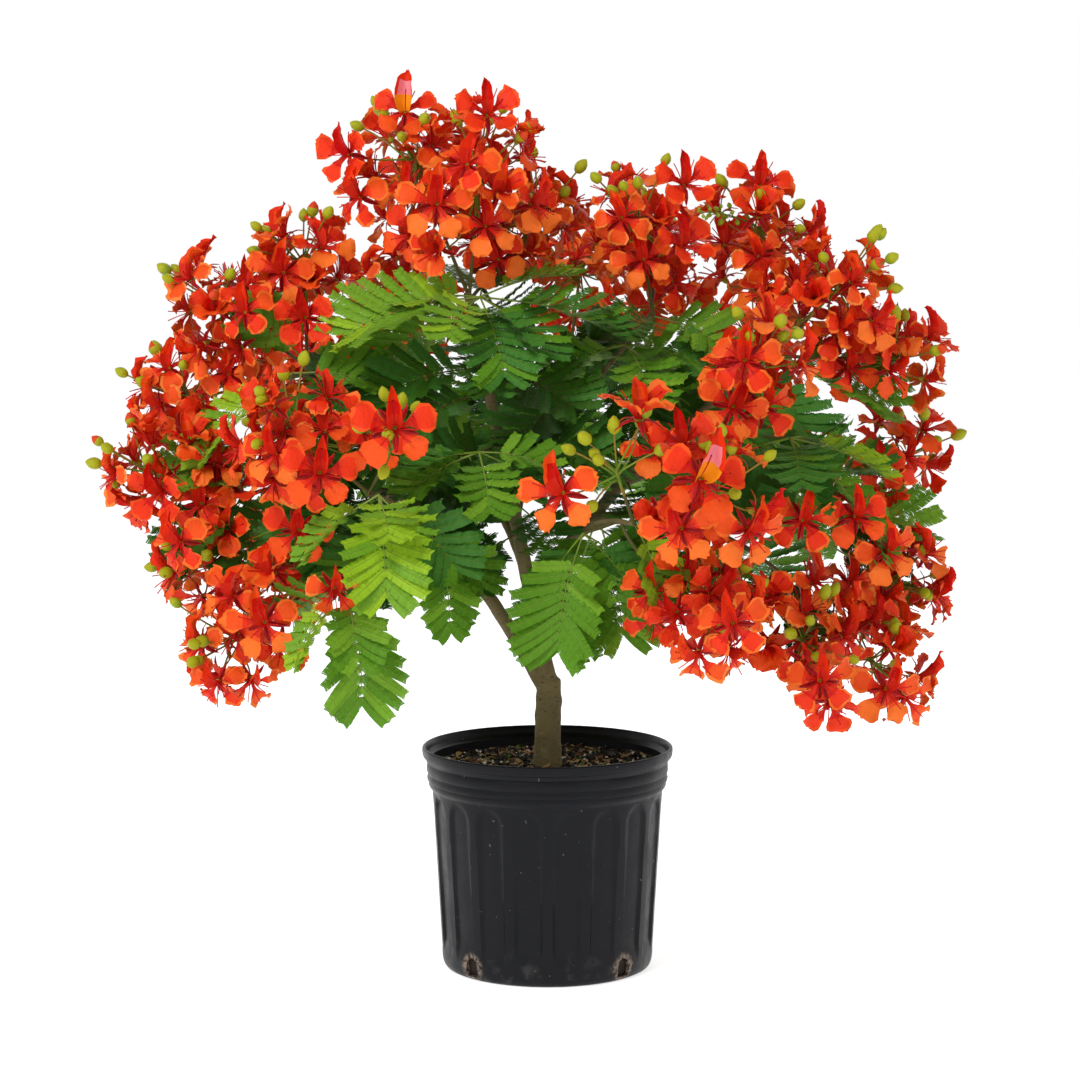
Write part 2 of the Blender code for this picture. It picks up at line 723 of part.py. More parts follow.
def bridge(shape, first, second):
    """Faces between two rings, or between a ring and one with more corners."""
    ratio = len(second) // len(first)
    for index, corner in enumerate(first):
        after = first[(index + 1) % len(first)]
        start = index * ratio
        fan = [second[(start + step) % len(second)] for step in range(ratio + 1)]
        for near, far in zip(fan, fan[1:]):
            shape.faces.new((corner, near, far))
        shape.faces.new((corner, fan[-1], after))


def flower_shape(root, place, facing, radius):
    """A flower on its stalk: stalk, calyx, then a rim drawn in between its petals."""
    shape = bmesh.new()
    back = place - facing * FLOWER_BACK
    foot = ring_at(shape, root, facing, PEDICEL_RADIUS)
    calyx = ring_at(shape, back, facing, CALYX_RADIUS)
    frame = frame_at(place, facing)
    rim = []
    for index in range(FLOWER_PETALS * len(PETAL_CORNERS)):
        petal, corner = divmod(index, len(PETAL_CORNERS))
        swing, share, lift = PETAL_CORNERS[corner]
        angle = math.radians(360.0 / FLOWER_PETALS * petal + swing)
        reach = radius * share
        place_on_rim = Vector((reach * math.cos(angle), reach * math.sin(angle), lift))
        rim.append(shape.verts.new(frame @ place_on_rim))
    centre = shape.verts.new(frame @ Vector((0.0, 0.0, FLOWER_THROAT)))
    shape.faces.new(foot)
    bridge(shape, foot, calyx)
    bridge(shape, calyx, rim)
    for index, corner in enumerate(rim):
        shape.faces.new((corner, rim[(index + 1) % len(rim)], centre))
    bmesh.ops.recalc_face_normals(shape, faces=shape.faces)
    return shape


def bud_shape(root, place, facing):
    """An egg-shaped bud on its stalk."""
    shape = bmesh.new()
    back = place - facing * BUD_LENGTH / 2.0
    rings = [
        ring_at(shape, root, facing, PEDICEL_RADIUS),
        ring_at(shape, back, facing, PEDICEL_RADIUS),
        ring_at(shape, place, facing, BUD_RADIUS),
    ]
    tip = shape.verts.new(place + facing * BUD_LENGTH / 2.0)
    shape.faces.new(rings[0])
    for lower, upper in zip(rings, rings[1:]):
        bridge(shape, lower, upper)
    for index, corner in enumerate(rings[-1]):
        shape.faces.new((corner, rings[-1][(index + 1) % TWIG_SIDES], tip))
    bmesh.ops.recalc_face_normals(shape, faces=shape.faces)
    return shape


def dome_direction(axis, index, shift):
    """The index-th direction of an even golden-angle spread over a dome about an axis."""
    share = (index * GOLDEN_SHARE + 0.5) % 1.0
    lean = math.acos(1.0 - share * (1.0 - math.cos(math.radians(TRUSS_DOME))))
    turn = index * GOLDEN_TURN + shift
    side = square_to(axis)
    other = axis.cross(side)
    around = side * math.cos(turn) + other * math.sin(turn)
    return axis * math.cos(lean) + around * math.sin(lean)


def truss_twigs(name, truss, head, room):
    """The flowers and buds of a truss, on stalks that spread over a dome."""
    chance = random.Random(name)
    axis = ((head - CROWN_HEART).normalized() + UP * TRUSS_LIFT).normalized()
    shift = chance.uniform(0.0, 2.0 * math.pi)
    twigs = [knob_shape(head, TRUSS_KNOB_RADIUS)]
    rays = []
    for index in range(TRUSS_TRIES):
        ray = dome_direction(axis, index, shift)
        blooms = len(rays) < truss.flowers
        spread = math.radians(FLOWER_SPREAD if blooms else BUD_SPREAD)
        if len(rays) == truss.flowers + truss.buds:
            break
        if any(ray.angle(other) < spread for other in rays):
            continue
        if blooms:
            size = chance.uniform(1.0 - FLOWER_SIZE_SPREAD, 1.0 + FLOWER_SIZE_SPREAD)
            radius = FLOWER_RADIUS * size
            place = head + ray * (truss.reach - FLOWER_CUP - FLOWER_SHY * radius)
            facing = (ray + axis * FLOWER_TURN_OUT).normalized()
            twig = flower_shape(head, place, facing, radius)
        else:
            twig = bud_shape(head, head + ray * truss.reach * BUD_REACH_SHARE, ray)
        if room.is_free(name, twig, TWIG_GAP):
            twigs.append(twig)
            rays.append(ray)
        else:
            twig.free()
    return twigs


def frond_shape(root, bearing, pitch, length):
    """A frond: a bending rib with pairs of blades, cut to the rib between them."""
    shape = bmesh.new()
    side = toward(bearing + 90.0, 0.0)
    run = length * (1.0 - FROND_PETIOLE_SHARE) / FROND_PAIRS
    longest = min(PINNA_LONGEST, length * PINNA_LENGTH_SHARE)
    sweep = math.radians(PINNA_SWEEP)
    droop = math.radians(PINNA_DROOP)

    def rib_pair(middle):
        return [shape.verts.new(middle + side * RIB_HALF_WIDTH * way) for way in (-1, 1)]

    heading = toward(bearing, pitch)
    place = root + heading * length * FROND_PETIOLE_SHARE
    foot = rib_pair(root)
    low = rib_pair(place)
    shape.faces.new((foot[0], foot[1], low[1], low[0]))
    for pair in range(FROND_PAIRS):
        share = (pair + 0.5) / FROND_PAIRS
        heading = toward(bearing, pitch - FROND_DROOP * share)
        under = side.cross(heading).normalized() * -1.0
        place = place + heading * run
        high = rib_pair(place)
        shape.faces.new((low[0], low[1], high[1], high[0]))
        reach = longest * (PINNA_LEAST + (1.0 - PINNA_LEAST) * math.sin(math.pi * share))
        width = heading * run * PINNA_TIP_SHARE
        for edge, way in ((0, -1), (1, 1)):
            out = heading * math.cos(sweep) + side * way * math.sin(sweep)
            out = out * math.cos(droop) + under * math.sin(droop)
            near_tip = shape.verts.new(low[edge].co + out * reach)
            far_tip = shape.verts.new(low[edge].co + out * reach * PINNA_SKEW + width)
            shape.faces.new((low[edge], near_tip, far_tip, high[edge]))
        low = high
    bmesh.ops.recalc_face_normals(shape, faces=shape.faces)
    bmesh.ops.solidify(shape, geom=list(shape.faces), thickness=BLADE_THICKNESS)
    bmesh.ops.recalc_face_normals(shape, faces=shape.faces)
    return shape


def rosette_twigs(name, rosette, head, room):
    """The fronds of a rosette, each swung a little where its own way isn't clear."""
    twigs = [knob_shape(head, ROSETTE_KNOB_RADIUS)]
    for bearing, pitch, length in rosette.fronds:
        for swing, rise in FROND_SWINGS:
            frond = frond_shape(head, bearing + swing, pitch + rise, length)
            if room.is_free(name, frond, TWIG_GAP):
                twigs.append(frond)
                break
            frond.free()
    return twigs


def make_masses(parts, limbs, room):
    """Every rosette of fronds and every truss of blossom, each one solid.

    All the stems are seated first, so that no frond or flower takes another's way.
    """
    stems = {}
    for name, mass in (*TRUSSES.items(), *ROSETTES.items()):
        stems[name] = seated_stem(name, limbs[mass.bough], mass, room)
    for name, rosette in ROSETTES.items():
        stem, head = stems[name]
        mesh = joined(stem, rosette_twigs(name, rosette, head, room))
        add_node(name, mesh, "leaf", parts)
        room.take(name, mesh)
    for name, truss in TRUSSES.items():
        stem, head = stems[name]
        mesh = joined(stem, truss_twigs(name, truss, head, room))
        add_node(name, mesh, "blossom", parts)
        room.take(name, mesh)


def main():
    """Build the potted sapling."""
    clear_scene()
    parts = new_collection("royal_poinciana_sapling")
    cutters = new_collection("cutters")
    room = Room()
    make_pot(parts, cutters)
    make_soil(parts)
    limbs = make_wood(parts, cutters, room)
    make_masses(parts, limbs, room)


main()
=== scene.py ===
# %% [markdown]
# # A royal poinciana sapling in full flower
#
# A frame of plain solids already holds the plant's true sizes: a nursery pot, its soil, a
# trunk with fifteen boughs, twelve rosettes of feathery leaves and thirty trusses of blossom.
# This lesson grows the visible plant over that frame. The same rules that placed the plain
# solids are written again here and carried on to every leaflet, petal and stamen.
#
# Lengths are metres and +Z is up. The origin is the middle of the pot's underside, and -Y is
# the front. The frame is loaded first, and its box is kept, so that the finished plant can be
# compared with it at the end.

import json
import math
import random
from collections import namedtuple

import bmesh
import bpy
import numpy as np
from mathutils import Matrix, Vector, noise

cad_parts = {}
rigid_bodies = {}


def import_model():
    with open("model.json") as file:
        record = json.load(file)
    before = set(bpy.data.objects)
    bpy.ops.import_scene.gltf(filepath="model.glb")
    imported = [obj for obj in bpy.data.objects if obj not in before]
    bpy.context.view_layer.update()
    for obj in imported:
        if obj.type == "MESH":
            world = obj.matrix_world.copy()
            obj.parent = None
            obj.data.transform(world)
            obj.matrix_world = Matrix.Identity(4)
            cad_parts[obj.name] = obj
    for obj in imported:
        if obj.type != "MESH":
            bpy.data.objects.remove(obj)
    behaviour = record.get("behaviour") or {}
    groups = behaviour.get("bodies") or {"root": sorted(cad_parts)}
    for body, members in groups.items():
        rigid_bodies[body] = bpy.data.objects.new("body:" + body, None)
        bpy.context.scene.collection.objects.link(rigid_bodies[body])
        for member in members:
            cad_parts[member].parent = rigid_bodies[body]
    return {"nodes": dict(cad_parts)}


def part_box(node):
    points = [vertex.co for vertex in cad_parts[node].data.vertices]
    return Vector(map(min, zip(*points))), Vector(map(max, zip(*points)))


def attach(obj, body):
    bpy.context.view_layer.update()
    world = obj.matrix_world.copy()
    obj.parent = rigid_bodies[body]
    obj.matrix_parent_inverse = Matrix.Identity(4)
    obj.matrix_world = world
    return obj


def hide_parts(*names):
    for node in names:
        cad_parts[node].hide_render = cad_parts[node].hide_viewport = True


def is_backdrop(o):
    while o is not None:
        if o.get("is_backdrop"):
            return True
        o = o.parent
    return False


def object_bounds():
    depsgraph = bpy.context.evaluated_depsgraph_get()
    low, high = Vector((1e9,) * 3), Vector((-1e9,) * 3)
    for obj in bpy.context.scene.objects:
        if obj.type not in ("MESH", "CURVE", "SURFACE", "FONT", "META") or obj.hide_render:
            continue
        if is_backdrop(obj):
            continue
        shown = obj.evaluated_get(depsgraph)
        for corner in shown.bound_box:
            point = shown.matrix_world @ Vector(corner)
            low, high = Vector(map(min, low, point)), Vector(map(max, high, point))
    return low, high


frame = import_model()
cad_low, cad_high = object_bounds()
print(f"frame: {len(frame['nodes'])} solids, {tuple((cad_high - cad_low) * 1000.0)} mm")

# %% [markdown]
# ## Directions
#
# Everything that grows is aimed by two angles: a bearing, in degrees from the front round
# towards +X, and a pitch, in degrees above the level. One small function turns the pair into
# a unit vector, and every table below uses it.

# %% Bearings and pitches
UP = Vector((0.0, 0.0, 1.0))
NEARLY_UPRIGHT = 0.05


def toward(bearing, pitch):
    """The unit direction for a bearing and a pitch in degrees."""
    turn = math.radians(bearing)
    rise = math.radians(pitch)
    level = math.cos(rise)
    return Vector((math.sin(turn) * level, -math.cos(turn) * level, math.sin(rise)))


def square_to(direction):
    """A unit vector square to a direction, level where it can be."""
    side = direction.cross(UP)
    if side.length < NEARLY_UPRIGHT:
        side = direction.cross(Vector((0.0, 1.0, 0.0)))
    return side.normalized()


print(f"front is {tuple(toward(0, 0))}")

# %% [markdown]
# ## Small helpers
#
# Every piece below ends in the same few steps: a mesh is filled, an object is put in the scene,
# its modifiers are turned into a plain mesh, or a node is added to a tree with its inputs set
# or linked. These steps are written once, here.

# %% Objects, meshes and nodes
def put_in_scene(name, data):
    """A new object in the scene."""
    thing = bpy.data.objects.new(name, data)
    bpy.context.scene.collection.objects.link(thing)
    return thing


def mesh_of(shape, name, *finishes):
    """A mesh made from a bmesh, which is then freed."""
    mesh = bpy.data.meshes.new(name)
    shape.to_mesh(mesh)
    shape.free()
    for finish in finishes:
        mesh.materials.append(finish)
    return mesh


def settled(thing, name):
    """The plain mesh that an object's modifiers come to; the object is removed."""
    thing.update_tag()
    bpy.context.view_layer.update()
    depsgraph = bpy.context.evaluated_depsgraph_get()
    mesh = bpy.data.meshes.new_from_object(thing.evaluated_get(depsgraph))
    bpy.data.objects.remove(thing, do_unlink=True)
    mesh.name = name
    return mesh


def join_rings(shape, rings, slot=0, inward=False):
    """Faces between each closed ring of points and the next."""
    for first, second in zip(rings, rings[1:]):
        for corner in range(len(first)):
            after = (corner + 1) % len(first)
            corners = (first[corner], first[after], second[after], second[corner])
            face = shape.faces.new(corners[:1] + corners[:0:-1] if inward else corners)
            face.material_index = slot


def step(tree, kind, inputs, **settings):
    """One node of a tree; its inputs are values or the outputs of other steps."""
    node = tree.nodes.new(kind)
    for name, value in settings.items():
        setattr(node, name, value)
    for key, value in inputs.items():
        if isinstance(value, bpy.types.NodeSocket):
            tree.links.new(value, node.inputs[key])
        else:
            node.inputs[key].default_value = value
    return node


def worked(tree, operation, *values):
    """A number worked out from other numbers."""
    return step(tree, "ShaderNodeMath", dict(enumerate(values)), operation=operation).outputs[0]


def ranged(tree, value, low, high, start=0.0, end=1.0):
    """A value mapped smoothly from one range onto another."""
    return step(tree, "ShaderNodeMapRange",
                {"Value": value, "From Min": low, "From Max": high, "To Min": start,
                 "To Max": end}, interpolation_type="SMOOTHSTEP").outputs["Result"]


def new_material(name, roughness):
    """A Principled material, its tree and its shader."""
    material = bpy.data.materials.new(name)
    material.use_nodes = True
    shader = material.node_tree.nodes["Principled BSDF"]
    shader.inputs["Roughness"].default_value = roughness
    return material, material.node_tree, shader


print("helpers are ready")

# %% [markdown]
# ## Camera
#
# The picture was taken from a little over three metres away, level with the crown and tipped
# down by six degrees, with a long lens. These four numbers were worked out from the ellipses
# of the pot's rim and foot. The camera is made first, because every later choice is judged
# through it.

# %% Camera
CAMERA_PLACE = (-0.0084, -3.3, 0.826)
CAMERA_TILT_DOWN = 5.93
CAMERA_LENS = 98.6
SENSOR_WIDTH = 36.0


def make_camera():
    """The long-lens camera in front of the plant."""
    data = bpy.data.cameras.new("camera")
    data.sensor_width = SENSOR_WIDTH
    data.lens = CAMERA_LENS
    camera = put_in_scene("camera", data)
    camera.location = CAMERA_PLACE
    camera.rotation_euler = (math.radians(90.0 - CAMERA_TILT_DOWN), 0.0, 0.0)
    bpy.context.scene.camera = camera
    return camera


camera = make_camera()
print(f"camera: {camera.data.lens:.1f} mm lens")

# %% [markdown]
# ## Studio light and floor
#
# The plant stands on a white sweep. The walls of the studio are white up to some height and
# the ceiling is dim, so the world is bright near the horizon and fades upwards: the edges of
# the petals stay bright against the hollows of the crown. One large lamp high on the left
# models them. Area lamps are used and not a sun, because their wide faces give the soft
# shadows of a studio. The floor glows a little, which keeps it white up to the pot's foot.
# The standard view keeps the petals' scarlet as strong as it is; the default view would wash
# it out.

# %% Lights and floor
WHITE = (1.0, 1.0, 1.0, 1.0)
WALL_STRENGTH = 1.0
CEILING_STRENGTH = 0.22
WALL_TOP_SLOPE = 0.34
CEILING_SLOPE = 0.72
FLOOR_COLOUR = 0.86
FLOOR_GLOW = 0.64
FLOOR_ROUGHNESS = 0.95
FLOOR_SIDES = 96
FLOOR_RADIUS = 14.0
FLOOR_DROP = 0.0004
Lamp = namedtuple("Lamp", "place aim size power")
LAMPS = {
    "key": Lamp((-1.5, -2.2, 3.0), (0.0, 0.0, 0.6), 1.2, 66.0),
    "fill": Lamp((2.4, -2.2, 1.5), (0.0, 0.0, 0.5), 2.0, 6.0),
    "back": Lamp((0.6, 2.6, 2.8), (0.0, 0.0, 0.6), 2.0, 30.0),
}


def make_lamp(name, lamp):
    """A square area lamp that looks at its aim."""
    data = bpy.data.lights.new(name, "AREA")
    data.size = lamp.size
    data.energy = lamp.power
    thing = put_in_scene(name, data)
    thing.location = lamp.place
    aim = Vector(lamp.aim) - Vector(lamp.place)
    thing.rotation_euler = aim.to_track_quat("-Z", "Y").to_euler()


def make_world():
    """A white surround that fades towards a dim ceiling."""
    world = bpy.data.worlds.new("studio")
    world.use_nodes = True
    tree = world.node_tree
    background = tree.nodes["Background"]
    background.inputs["Color"].default_value = WHITE
    place = step(tree, "ShaderNodeTexCoord", {}).outputs["Generated"]
    slope = step(tree, "ShaderNodeSeparateXYZ", {0: place}).outputs["Z"]
    fade = ranged(tree, slope, WALL_TOP_SLOPE, CEILING_SLOPE, WALL_STRENGTH, CEILING_STRENGTH)
    tree.links.new(fade, background.inputs["Strength"])
    bpy.context.scene.world = world
    bpy.context.scene.view_settings.view_transform = "Standard"


def make_floor():
    """A wide round floor, a hair under the pot's foot."""
    shape = bmesh.new()
    bmesh.ops.create_circle(shape, cap_ends=True, segments=FLOOR_SIDES, radius=FLOOR_RADIUS)
    material, _, shader = new_material("floor", FLOOR_ROUGHNESS)
    shader.inputs["Base Color"].default_value = (FLOOR_COLOUR, FLOOR_COLOUR, FLOOR_COLOUR, 1.0)
    shader.inputs["Specular IOR Level"].default_value = 0.0
    shader.inputs["Emission Color"].default_value = WHITE
    shader.inputs["Emission Strength"].default_value = FLOOR_GLOW
    mesh = mesh_of(shape, "floor", material)
    mesh.transform(Matrix.Translation((0.0, 0.0, -FLOOR_DROP)))
    return put_in_scene("floor", mesh)


make_world()
for lamp_name, lamp in LAMPS.items():
    make_lamp(lamp_name, lamp)
make_floor()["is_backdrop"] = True
print(f"{len(LAMPS)} lamps over a floor {2 * FLOOR_RADIUS:.0f} m across")

# %% [markdown]
# ## Finishes of the living parts
#
# A petal, a leaflet or a stamen is too small to carry a picture of its own, and thousands of
# them are joined into one mesh. So each finish here is one plain colour, and the variety of
# the plant comes from dealing many finishes out, petal by petal and frond by frond. A fine
# noise bends the shading, as the crinkles in a petal and the dull bloom on a leaf do.
# Colours are given as a screen shows them, from 0 to 255, and turned into linear light.

# %% Plain finishes
Finish = namedtuple("Finish", "colour roughness grain depth")
FINISHES = {
    "petal_scarlet": Finish((222, 48, 10), 0.52, 260.0, 0.0011),
    "petal_vermilion": Finish((228, 76, 18), 0.52, 260.0, 0.0011),
    "petal_orange": Finish((234, 108, 34), 0.54, 260.0, 0.0011),
    "petal_crimson": Finish((202, 22, 8), 0.50, 260.0, 0.0011),
    "petal_edge": Finish((234, 124, 50), 0.56, 300.0, 0.0010),
    "petal_pink": Finish((236, 138, 148), 0.56, 300.0, 0.0010),
    "petal_amber": Finish((238, 150, 22), 0.52, 260.0, 0.0008),
    "claw": Finish((208, 42, 20), 0.52, 260.0, 0.0008),
    "sepal": Finish((180, 26, 26), 0.50, 300.0, 0.0008),
    "sepal_back": Finish((196, 92, 38), 0.55, 300.0, 0.0008),
    "filament": Finish((206, 22, 24), 0.48, 400.0, 0.0003),
    "anther": Finish((104, 16, 20), 0.70, 700.0, 0.0006),
    "calyx": Finish((150, 146, 40), 0.50, 300.0, 0.0006),
    "bud_olive": Finish((158, 160, 24), 0.42, 220.0, 0.0005),
    "bud_green": Finish((132, 152, 32), 0.42, 220.0, 0.0005),
    "bud_red": Finish((204, 66, 24), 0.44, 220.0, 0.0006),
    "stalk": Finish((112, 136, 40), 0.50, 300.0, 0.0006),
    "stalk_warm": Finish((140, 116, 42), 0.50, 300.0, 0.0006),
    "twig": Finish((92, 88, 46), 0.65, 260.0, 0.0010),
    "rib": Finish((126, 146, 62), 0.50, 300.0, 0.0004),
    # leaf_deep and leaf_blue go mostly to fronds inside the crown: partly the older leaves' own darker
    # green, partly painted shade
    "leaf_deep": Finish((52, 96, 18), 0.55, 180.0, 0.0010),
    "leaf_blue": Finish((62, 116, 38), 0.55, 180.0, 0.0010),
    "leaf_mid": Finish((88, 138, 28), 0.55, 180.0, 0.0010),
    "leaf_fresh": Finish((112, 158, 38), 0.55, 180.0, 0.0010),
    "leaf_young": Finish((142, 180, 34), 0.55, 180.0, 0.0010),
}
SOFT_GLOSS = 0.16
GRAIN_DETAIL = 3.0


def shown(colour):
    """Linear light for a colour as a screen shows it."""
    linear = []
    for level in colour:
        share = level / 255.0
        linear.append(share / 12.92 if share <= 0.04045 else ((share + 0.055) / 1.055) ** 2.4)
    return (*linear, 1.0)


def own_place(tree):
    """The object's own coordinates."""
    return step(tree, "ShaderNodeTexCoord", {}).outputs["Object"]


def noised(tree, place, scale, detail=GRAIN_DETAIL, stretch=None):
    """Noise over a place, which may be stretched first."""
    if stretch:
        place = step(tree, "ShaderNodeMapping", {"Vector": place, "Scale": stretch}).outputs[0]
    return step(tree, "ShaderNodeTexNoise",
                {"Vector": place, "Scale": scale, "Detail": detail}).outputs["Fac"]


def add_relief(tree, shader, height, depth):
    """Bend a shader's normals as if the surface rose and fell."""
    bump = step(tree, "ShaderNodeBump", {"Height": height, "Distance": depth})
    tree.links.new(bump.outputs["Normal"], shader.inputs["Normal"])


def plain_finish(name, finish):
    """A Principled material of one colour with a fine grain."""
    material, tree, shader = new_material(name, finish.roughness)
    shader.inputs["Base Color"].default_value = shown(finish.colour)
    shader.inputs["Specular IOR Level"].default_value = SOFT_GLOSS
    material.diffuse_color = shown(finish.colour)
    add_relief(tree, shader, noised(tree, own_place(tree), finish.grain), finish.depth)
    return material


finishes = [plain_finish(name, finish) for name, finish in FINISHES.items()]
FINISH_NUMBER = {name: number for number, name in enumerate(FINISHES, 1)}
print(f"{len(finishes)} plain finishes")

# %% [markdown]
# ## Building node trees
#
# Whatever repeats on this plant is made by Geometry Nodes: leaflets along a rib, ribs along a
# frond, flowers on their stalks, bark chips on the soil. A tree is built here in the script,
# one step at a time, with a named input for each of its sizes. A step's inputs may be plain
# values or the outputs of earlier steps.

# %% Trees and grown meshes
def new_tree(name, sizes):
    """A Geometry Nodes tree with a geometry input and the named inputs after it."""
    tree = bpy.data.node_groups.new(name, "GeometryNodeTree")
    sockets = tree.interface
    sockets.new_socket("Geometry", in_out="INPUT", socket_type="NodeSocketGeometry")
    for label, kind in sizes.items():
        sockets.new_socket(label, in_out="INPUT", socket_type=f"NodeSocket{kind}")
    sockets.new_socket("Geometry", in_out="OUTPUT", socket_type="NodeSocketGeometry")
    return tree, tree.nodes.new("NodeGroupInput").outputs


def named(tree, name, kind):
    """The values of an attribute that the points carry."""
    return step(tree, "GeometryNodeInputNamedAttribute", {"Name": name}, data_type=kind).outputs[0]


def end_tree(tree, shape):
    """Realize the instances, then give each face the finish that its number names."""
    shape = step(tree, "GeometryNodeRealizeInstances", {"Geometry": shape}).outputs[0]
    number = named(tree, "finish", "INT")
    for index, material in enumerate(finishes, 1):
        chosen = step(tree, "FunctionNodeCompare", {2: number, 3: index},
                      data_type="INT", operation="EQUAL").outputs[0]
        shape = step(tree, "GeometryNodeSetMaterial",
                     {"Geometry": shape, "Selection": chosen, "Material": material}).outputs[0]
    end = tree.nodes.new("NodeGroupOutput")
    tree.links.new(shape, end.inputs[0])
    return tree


def grown(name, base, tree, sizes):
    """The plain mesh that a tree grows from a base mesh."""
    thing = put_in_scene(name, base)
    modifier = thing.modifiers.new(name, "NODES")
    modifier.node_group = tree
    for socket in tree.interface.items_tree:
        if socket.in_out == "INPUT" and socket.name in sizes:
            modifier[socket.identifier] = sizes[socket.name]
    return settled(thing, name)


def triangles_of(mesh):
    """How many triangles a mesh comes to."""
    return sum(len(face.vertices) - 2 for face in mesh.polygons)


def drop_unused_slots(mesh):
    """Leave a mesh only the finishes that its faces use."""
    numbers = np.empty(len(mesh.polygons), dtype=np.int32)
    mesh.polygons.foreach_get("material_index", numbers)
    used = np.unique(numbers)
    kept = [mesh.materials[index] for index in used]
    mesh.materials.clear()
    for material in kept:
        mesh.materials.append(material)
    mesh.polygons.foreach_set("material_index", np.searchsorted(used, numbers).astype(np.int32))


def show(name, mesh, nodes, smooth=True):
    """A finished piece of the plant: it rides on the body and stands for its solids."""
    mesh.validate()
    drop_unused_slots(mesh)
    if smooth:
        mesh.shade_smooth()
    piece = put_in_scene(name, mesh)
    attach(piece, "root")
    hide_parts(*nodes)
    print(f"{name}: {triangles_of(mesh)} triangles")
    return piece


print("node tree helpers are ready")

# %% [markdown]
# ## Lines that become twigs
#
# Twigs, stalks, petioles and ribs are all the same thing: a line with a thickness that
# changes along it. They are gathered as bare edges first, with the thickness and the finish
# kept on the points. One tree then sweeps a small ring along every line. That is lighter than
# hundreds of curve objects, and the ring's corners are one named input.

# %% Gathering lines, and the tree that sweeps them
END_SHARE = 0.66


class Lines:
    """Bare lines with a thickness and a finish at every point."""

    def __init__(self):
        self.places = []
        self.edges = []
        self.thick = []
        self.finish = []

    def add_radii(self, route, radii, finish, end_finish=None):
        """A line with a radius at every point; its outer third may have another finish."""
        start = len(self.places)
        for index, place in enumerate(route):
            ends = end_finish and index > (len(route) - 1) * END_SHARE
            self.places.append(tuple(place))
            self.thick.append(radii[index])
            self.finish.append(FINISH_NUMBER[end_finish if ends else finish])
            if index:
                self.edges.append((start + index - 1, start + index))

    def add(self, route, foot, tip, finish, end_finish=None):
        """A line that tapers from its foot to its tip."""
        last = len(route) - 1
        radii = [foot + (tip - foot) * index / last for index in range(len(route))]
        self.add_radii(route, radii, finish, end_finish)

    def mesh(self):
        """The lines as a mesh of edges."""
        mesh = bpy.data.meshes.new("lines")
        mesh.from_pydata(self.places, self.edges, [])
        mesh.attributes.new("thick", "FLOAT", "POINT").data.foreach_set("value", self.thick)
        mesh.attributes.new("finish", "INT", "POINT").data.foreach_set("value", self.finish)
        return mesh


def make_sweep_tree():
    """A ring swept along every line, as wide as the line's thickness says."""
    tree, sizes = new_tree("swept_lines", {"Corners": "Int"})
    line = step(tree, "GeometryNodeMeshToCurve", {"Mesh": sizes["Geometry"]}).outputs[0]
    ring = step(tree, "GeometryNodeCurvePrimitiveCircle",
                {"Resolution": sizes["Corners"], "Radius": 1.0}).outputs[0]
    swept = step(tree, "GeometryNodeCurveToMesh",
                 {"Curve": line, "Profile Curve": ring, "Scale": named(tree, "thick", "FLOAT"),
                  "Fill Caps": True}).outputs[0]
    return end_tree(tree, swept)


sweep_tree = make_sweep_tree()


def bent(foot, bend, head, rings):
    """A smooth route from a foot to a head, drawn towards the bend between them."""
    route = []
    for ring in range(rings):
        share = ring / (rings - 1)
        route.append(foot.lerp(bend, share).lerp(bend.lerp(head, share), share))
    return route


print("lines can be swept into twigs")

# %% [markdown]
# ## Points that carry shapes
#
# Flowers, buds and leaflet blades are each made once, as a template, and then put on points.
# A point says where the shape goes, which way it faces, which way is up for it, how large it
# is, which template it takes and, for blades, its finish. The tree turns the two directions
# into a rotation and puts the chosen template there.

# %% Gathering points, and the tree that puts shapes on them
POINT_VALUES = {"facing": "FLOAT_VECTOR", "upward": "FLOAT_VECTOR", "size": "FLOAT",
                "kind": "INT", "finish": "INT"}


class Points:
    """Places for shapes, with everything that a shape has to know."""

    def __init__(self):
        self.rows = []

    def add(self, place, facing, upward, size, kind=0, finish=0):
        """One place for a shape."""
        self.rows.append((tuple(place), tuple(facing), tuple(upward), size, kind, finish))

    def mesh(self):
        """The points as a mesh; the finish 0 leaves a shape's own finishes alone."""
        places, *columns = zip(*self.rows)
        mesh = bpy.data.meshes.new("points")
        mesh.from_pydata(places, [], [])
        for (name, kind), column in zip(POINT_VALUES.items(), columns):
            field = "vector" if kind == "FLOAT_VECTOR" else "value"
            values = mesh.attributes.new(name, kind, "POINT").data
            values.foreach_set(field, np.array(column).ravel())
        return mesh


def put_shapes(tree, points, shapes, pick, turn, size):
    """A collection's shapes on points, each picked, turned and scaled on its own."""
    shapes = step(tree, "GeometryNodeCollectionInfo",
                  {"Collection": shapes, "Separate Children": True,
                   "Reset Children": True}).outputs[0]
    return step(tree, "GeometryNodeInstanceOnPoints",
                {"Points": points, "Instance": shapes, "Pick Instance": True,
                 "Instance Index": pick, "Rotation": turn, "Scale": size}).outputs[0]


def make_placing_tree():
    """Shapes from a collection, put on points and turned as the points say."""
    tree, sizes = new_tree("placed_shapes", {"Shapes": "Collection"})
    turn = step(tree, "FunctionNodeAxesToRotation",
                {"Primary Axis": named(tree, "facing", "FLOAT_VECTOR"),
                 "Secondary Axis": named(tree, "upward", "FLOAT_VECTOR")},
                primary_axis="Z", secondary_axis="Y").outputs[0]
    return end_tree(tree, put_shapes(tree, sizes["Geometry"], sizes["Shapes"],
                                     named(tree, "kind", "INT"), turn,
                                     named(tree, "size", "FLOAT")))


placing_tree = make_placing_tree()


def shape_set(name, meshes, smooth=False):
    """A collection of template shapes, in order, that isn't part of the scene."""
    group = bpy.data.collections.new(name)
    for index, mesh in enumerate(meshes):
        if smooth:
            mesh.shade_smooth()
        group.objects.link(bpy.data.objects.new(f"{name}_{index:02d}", mesh))
    return group


print("shapes can be put on points")

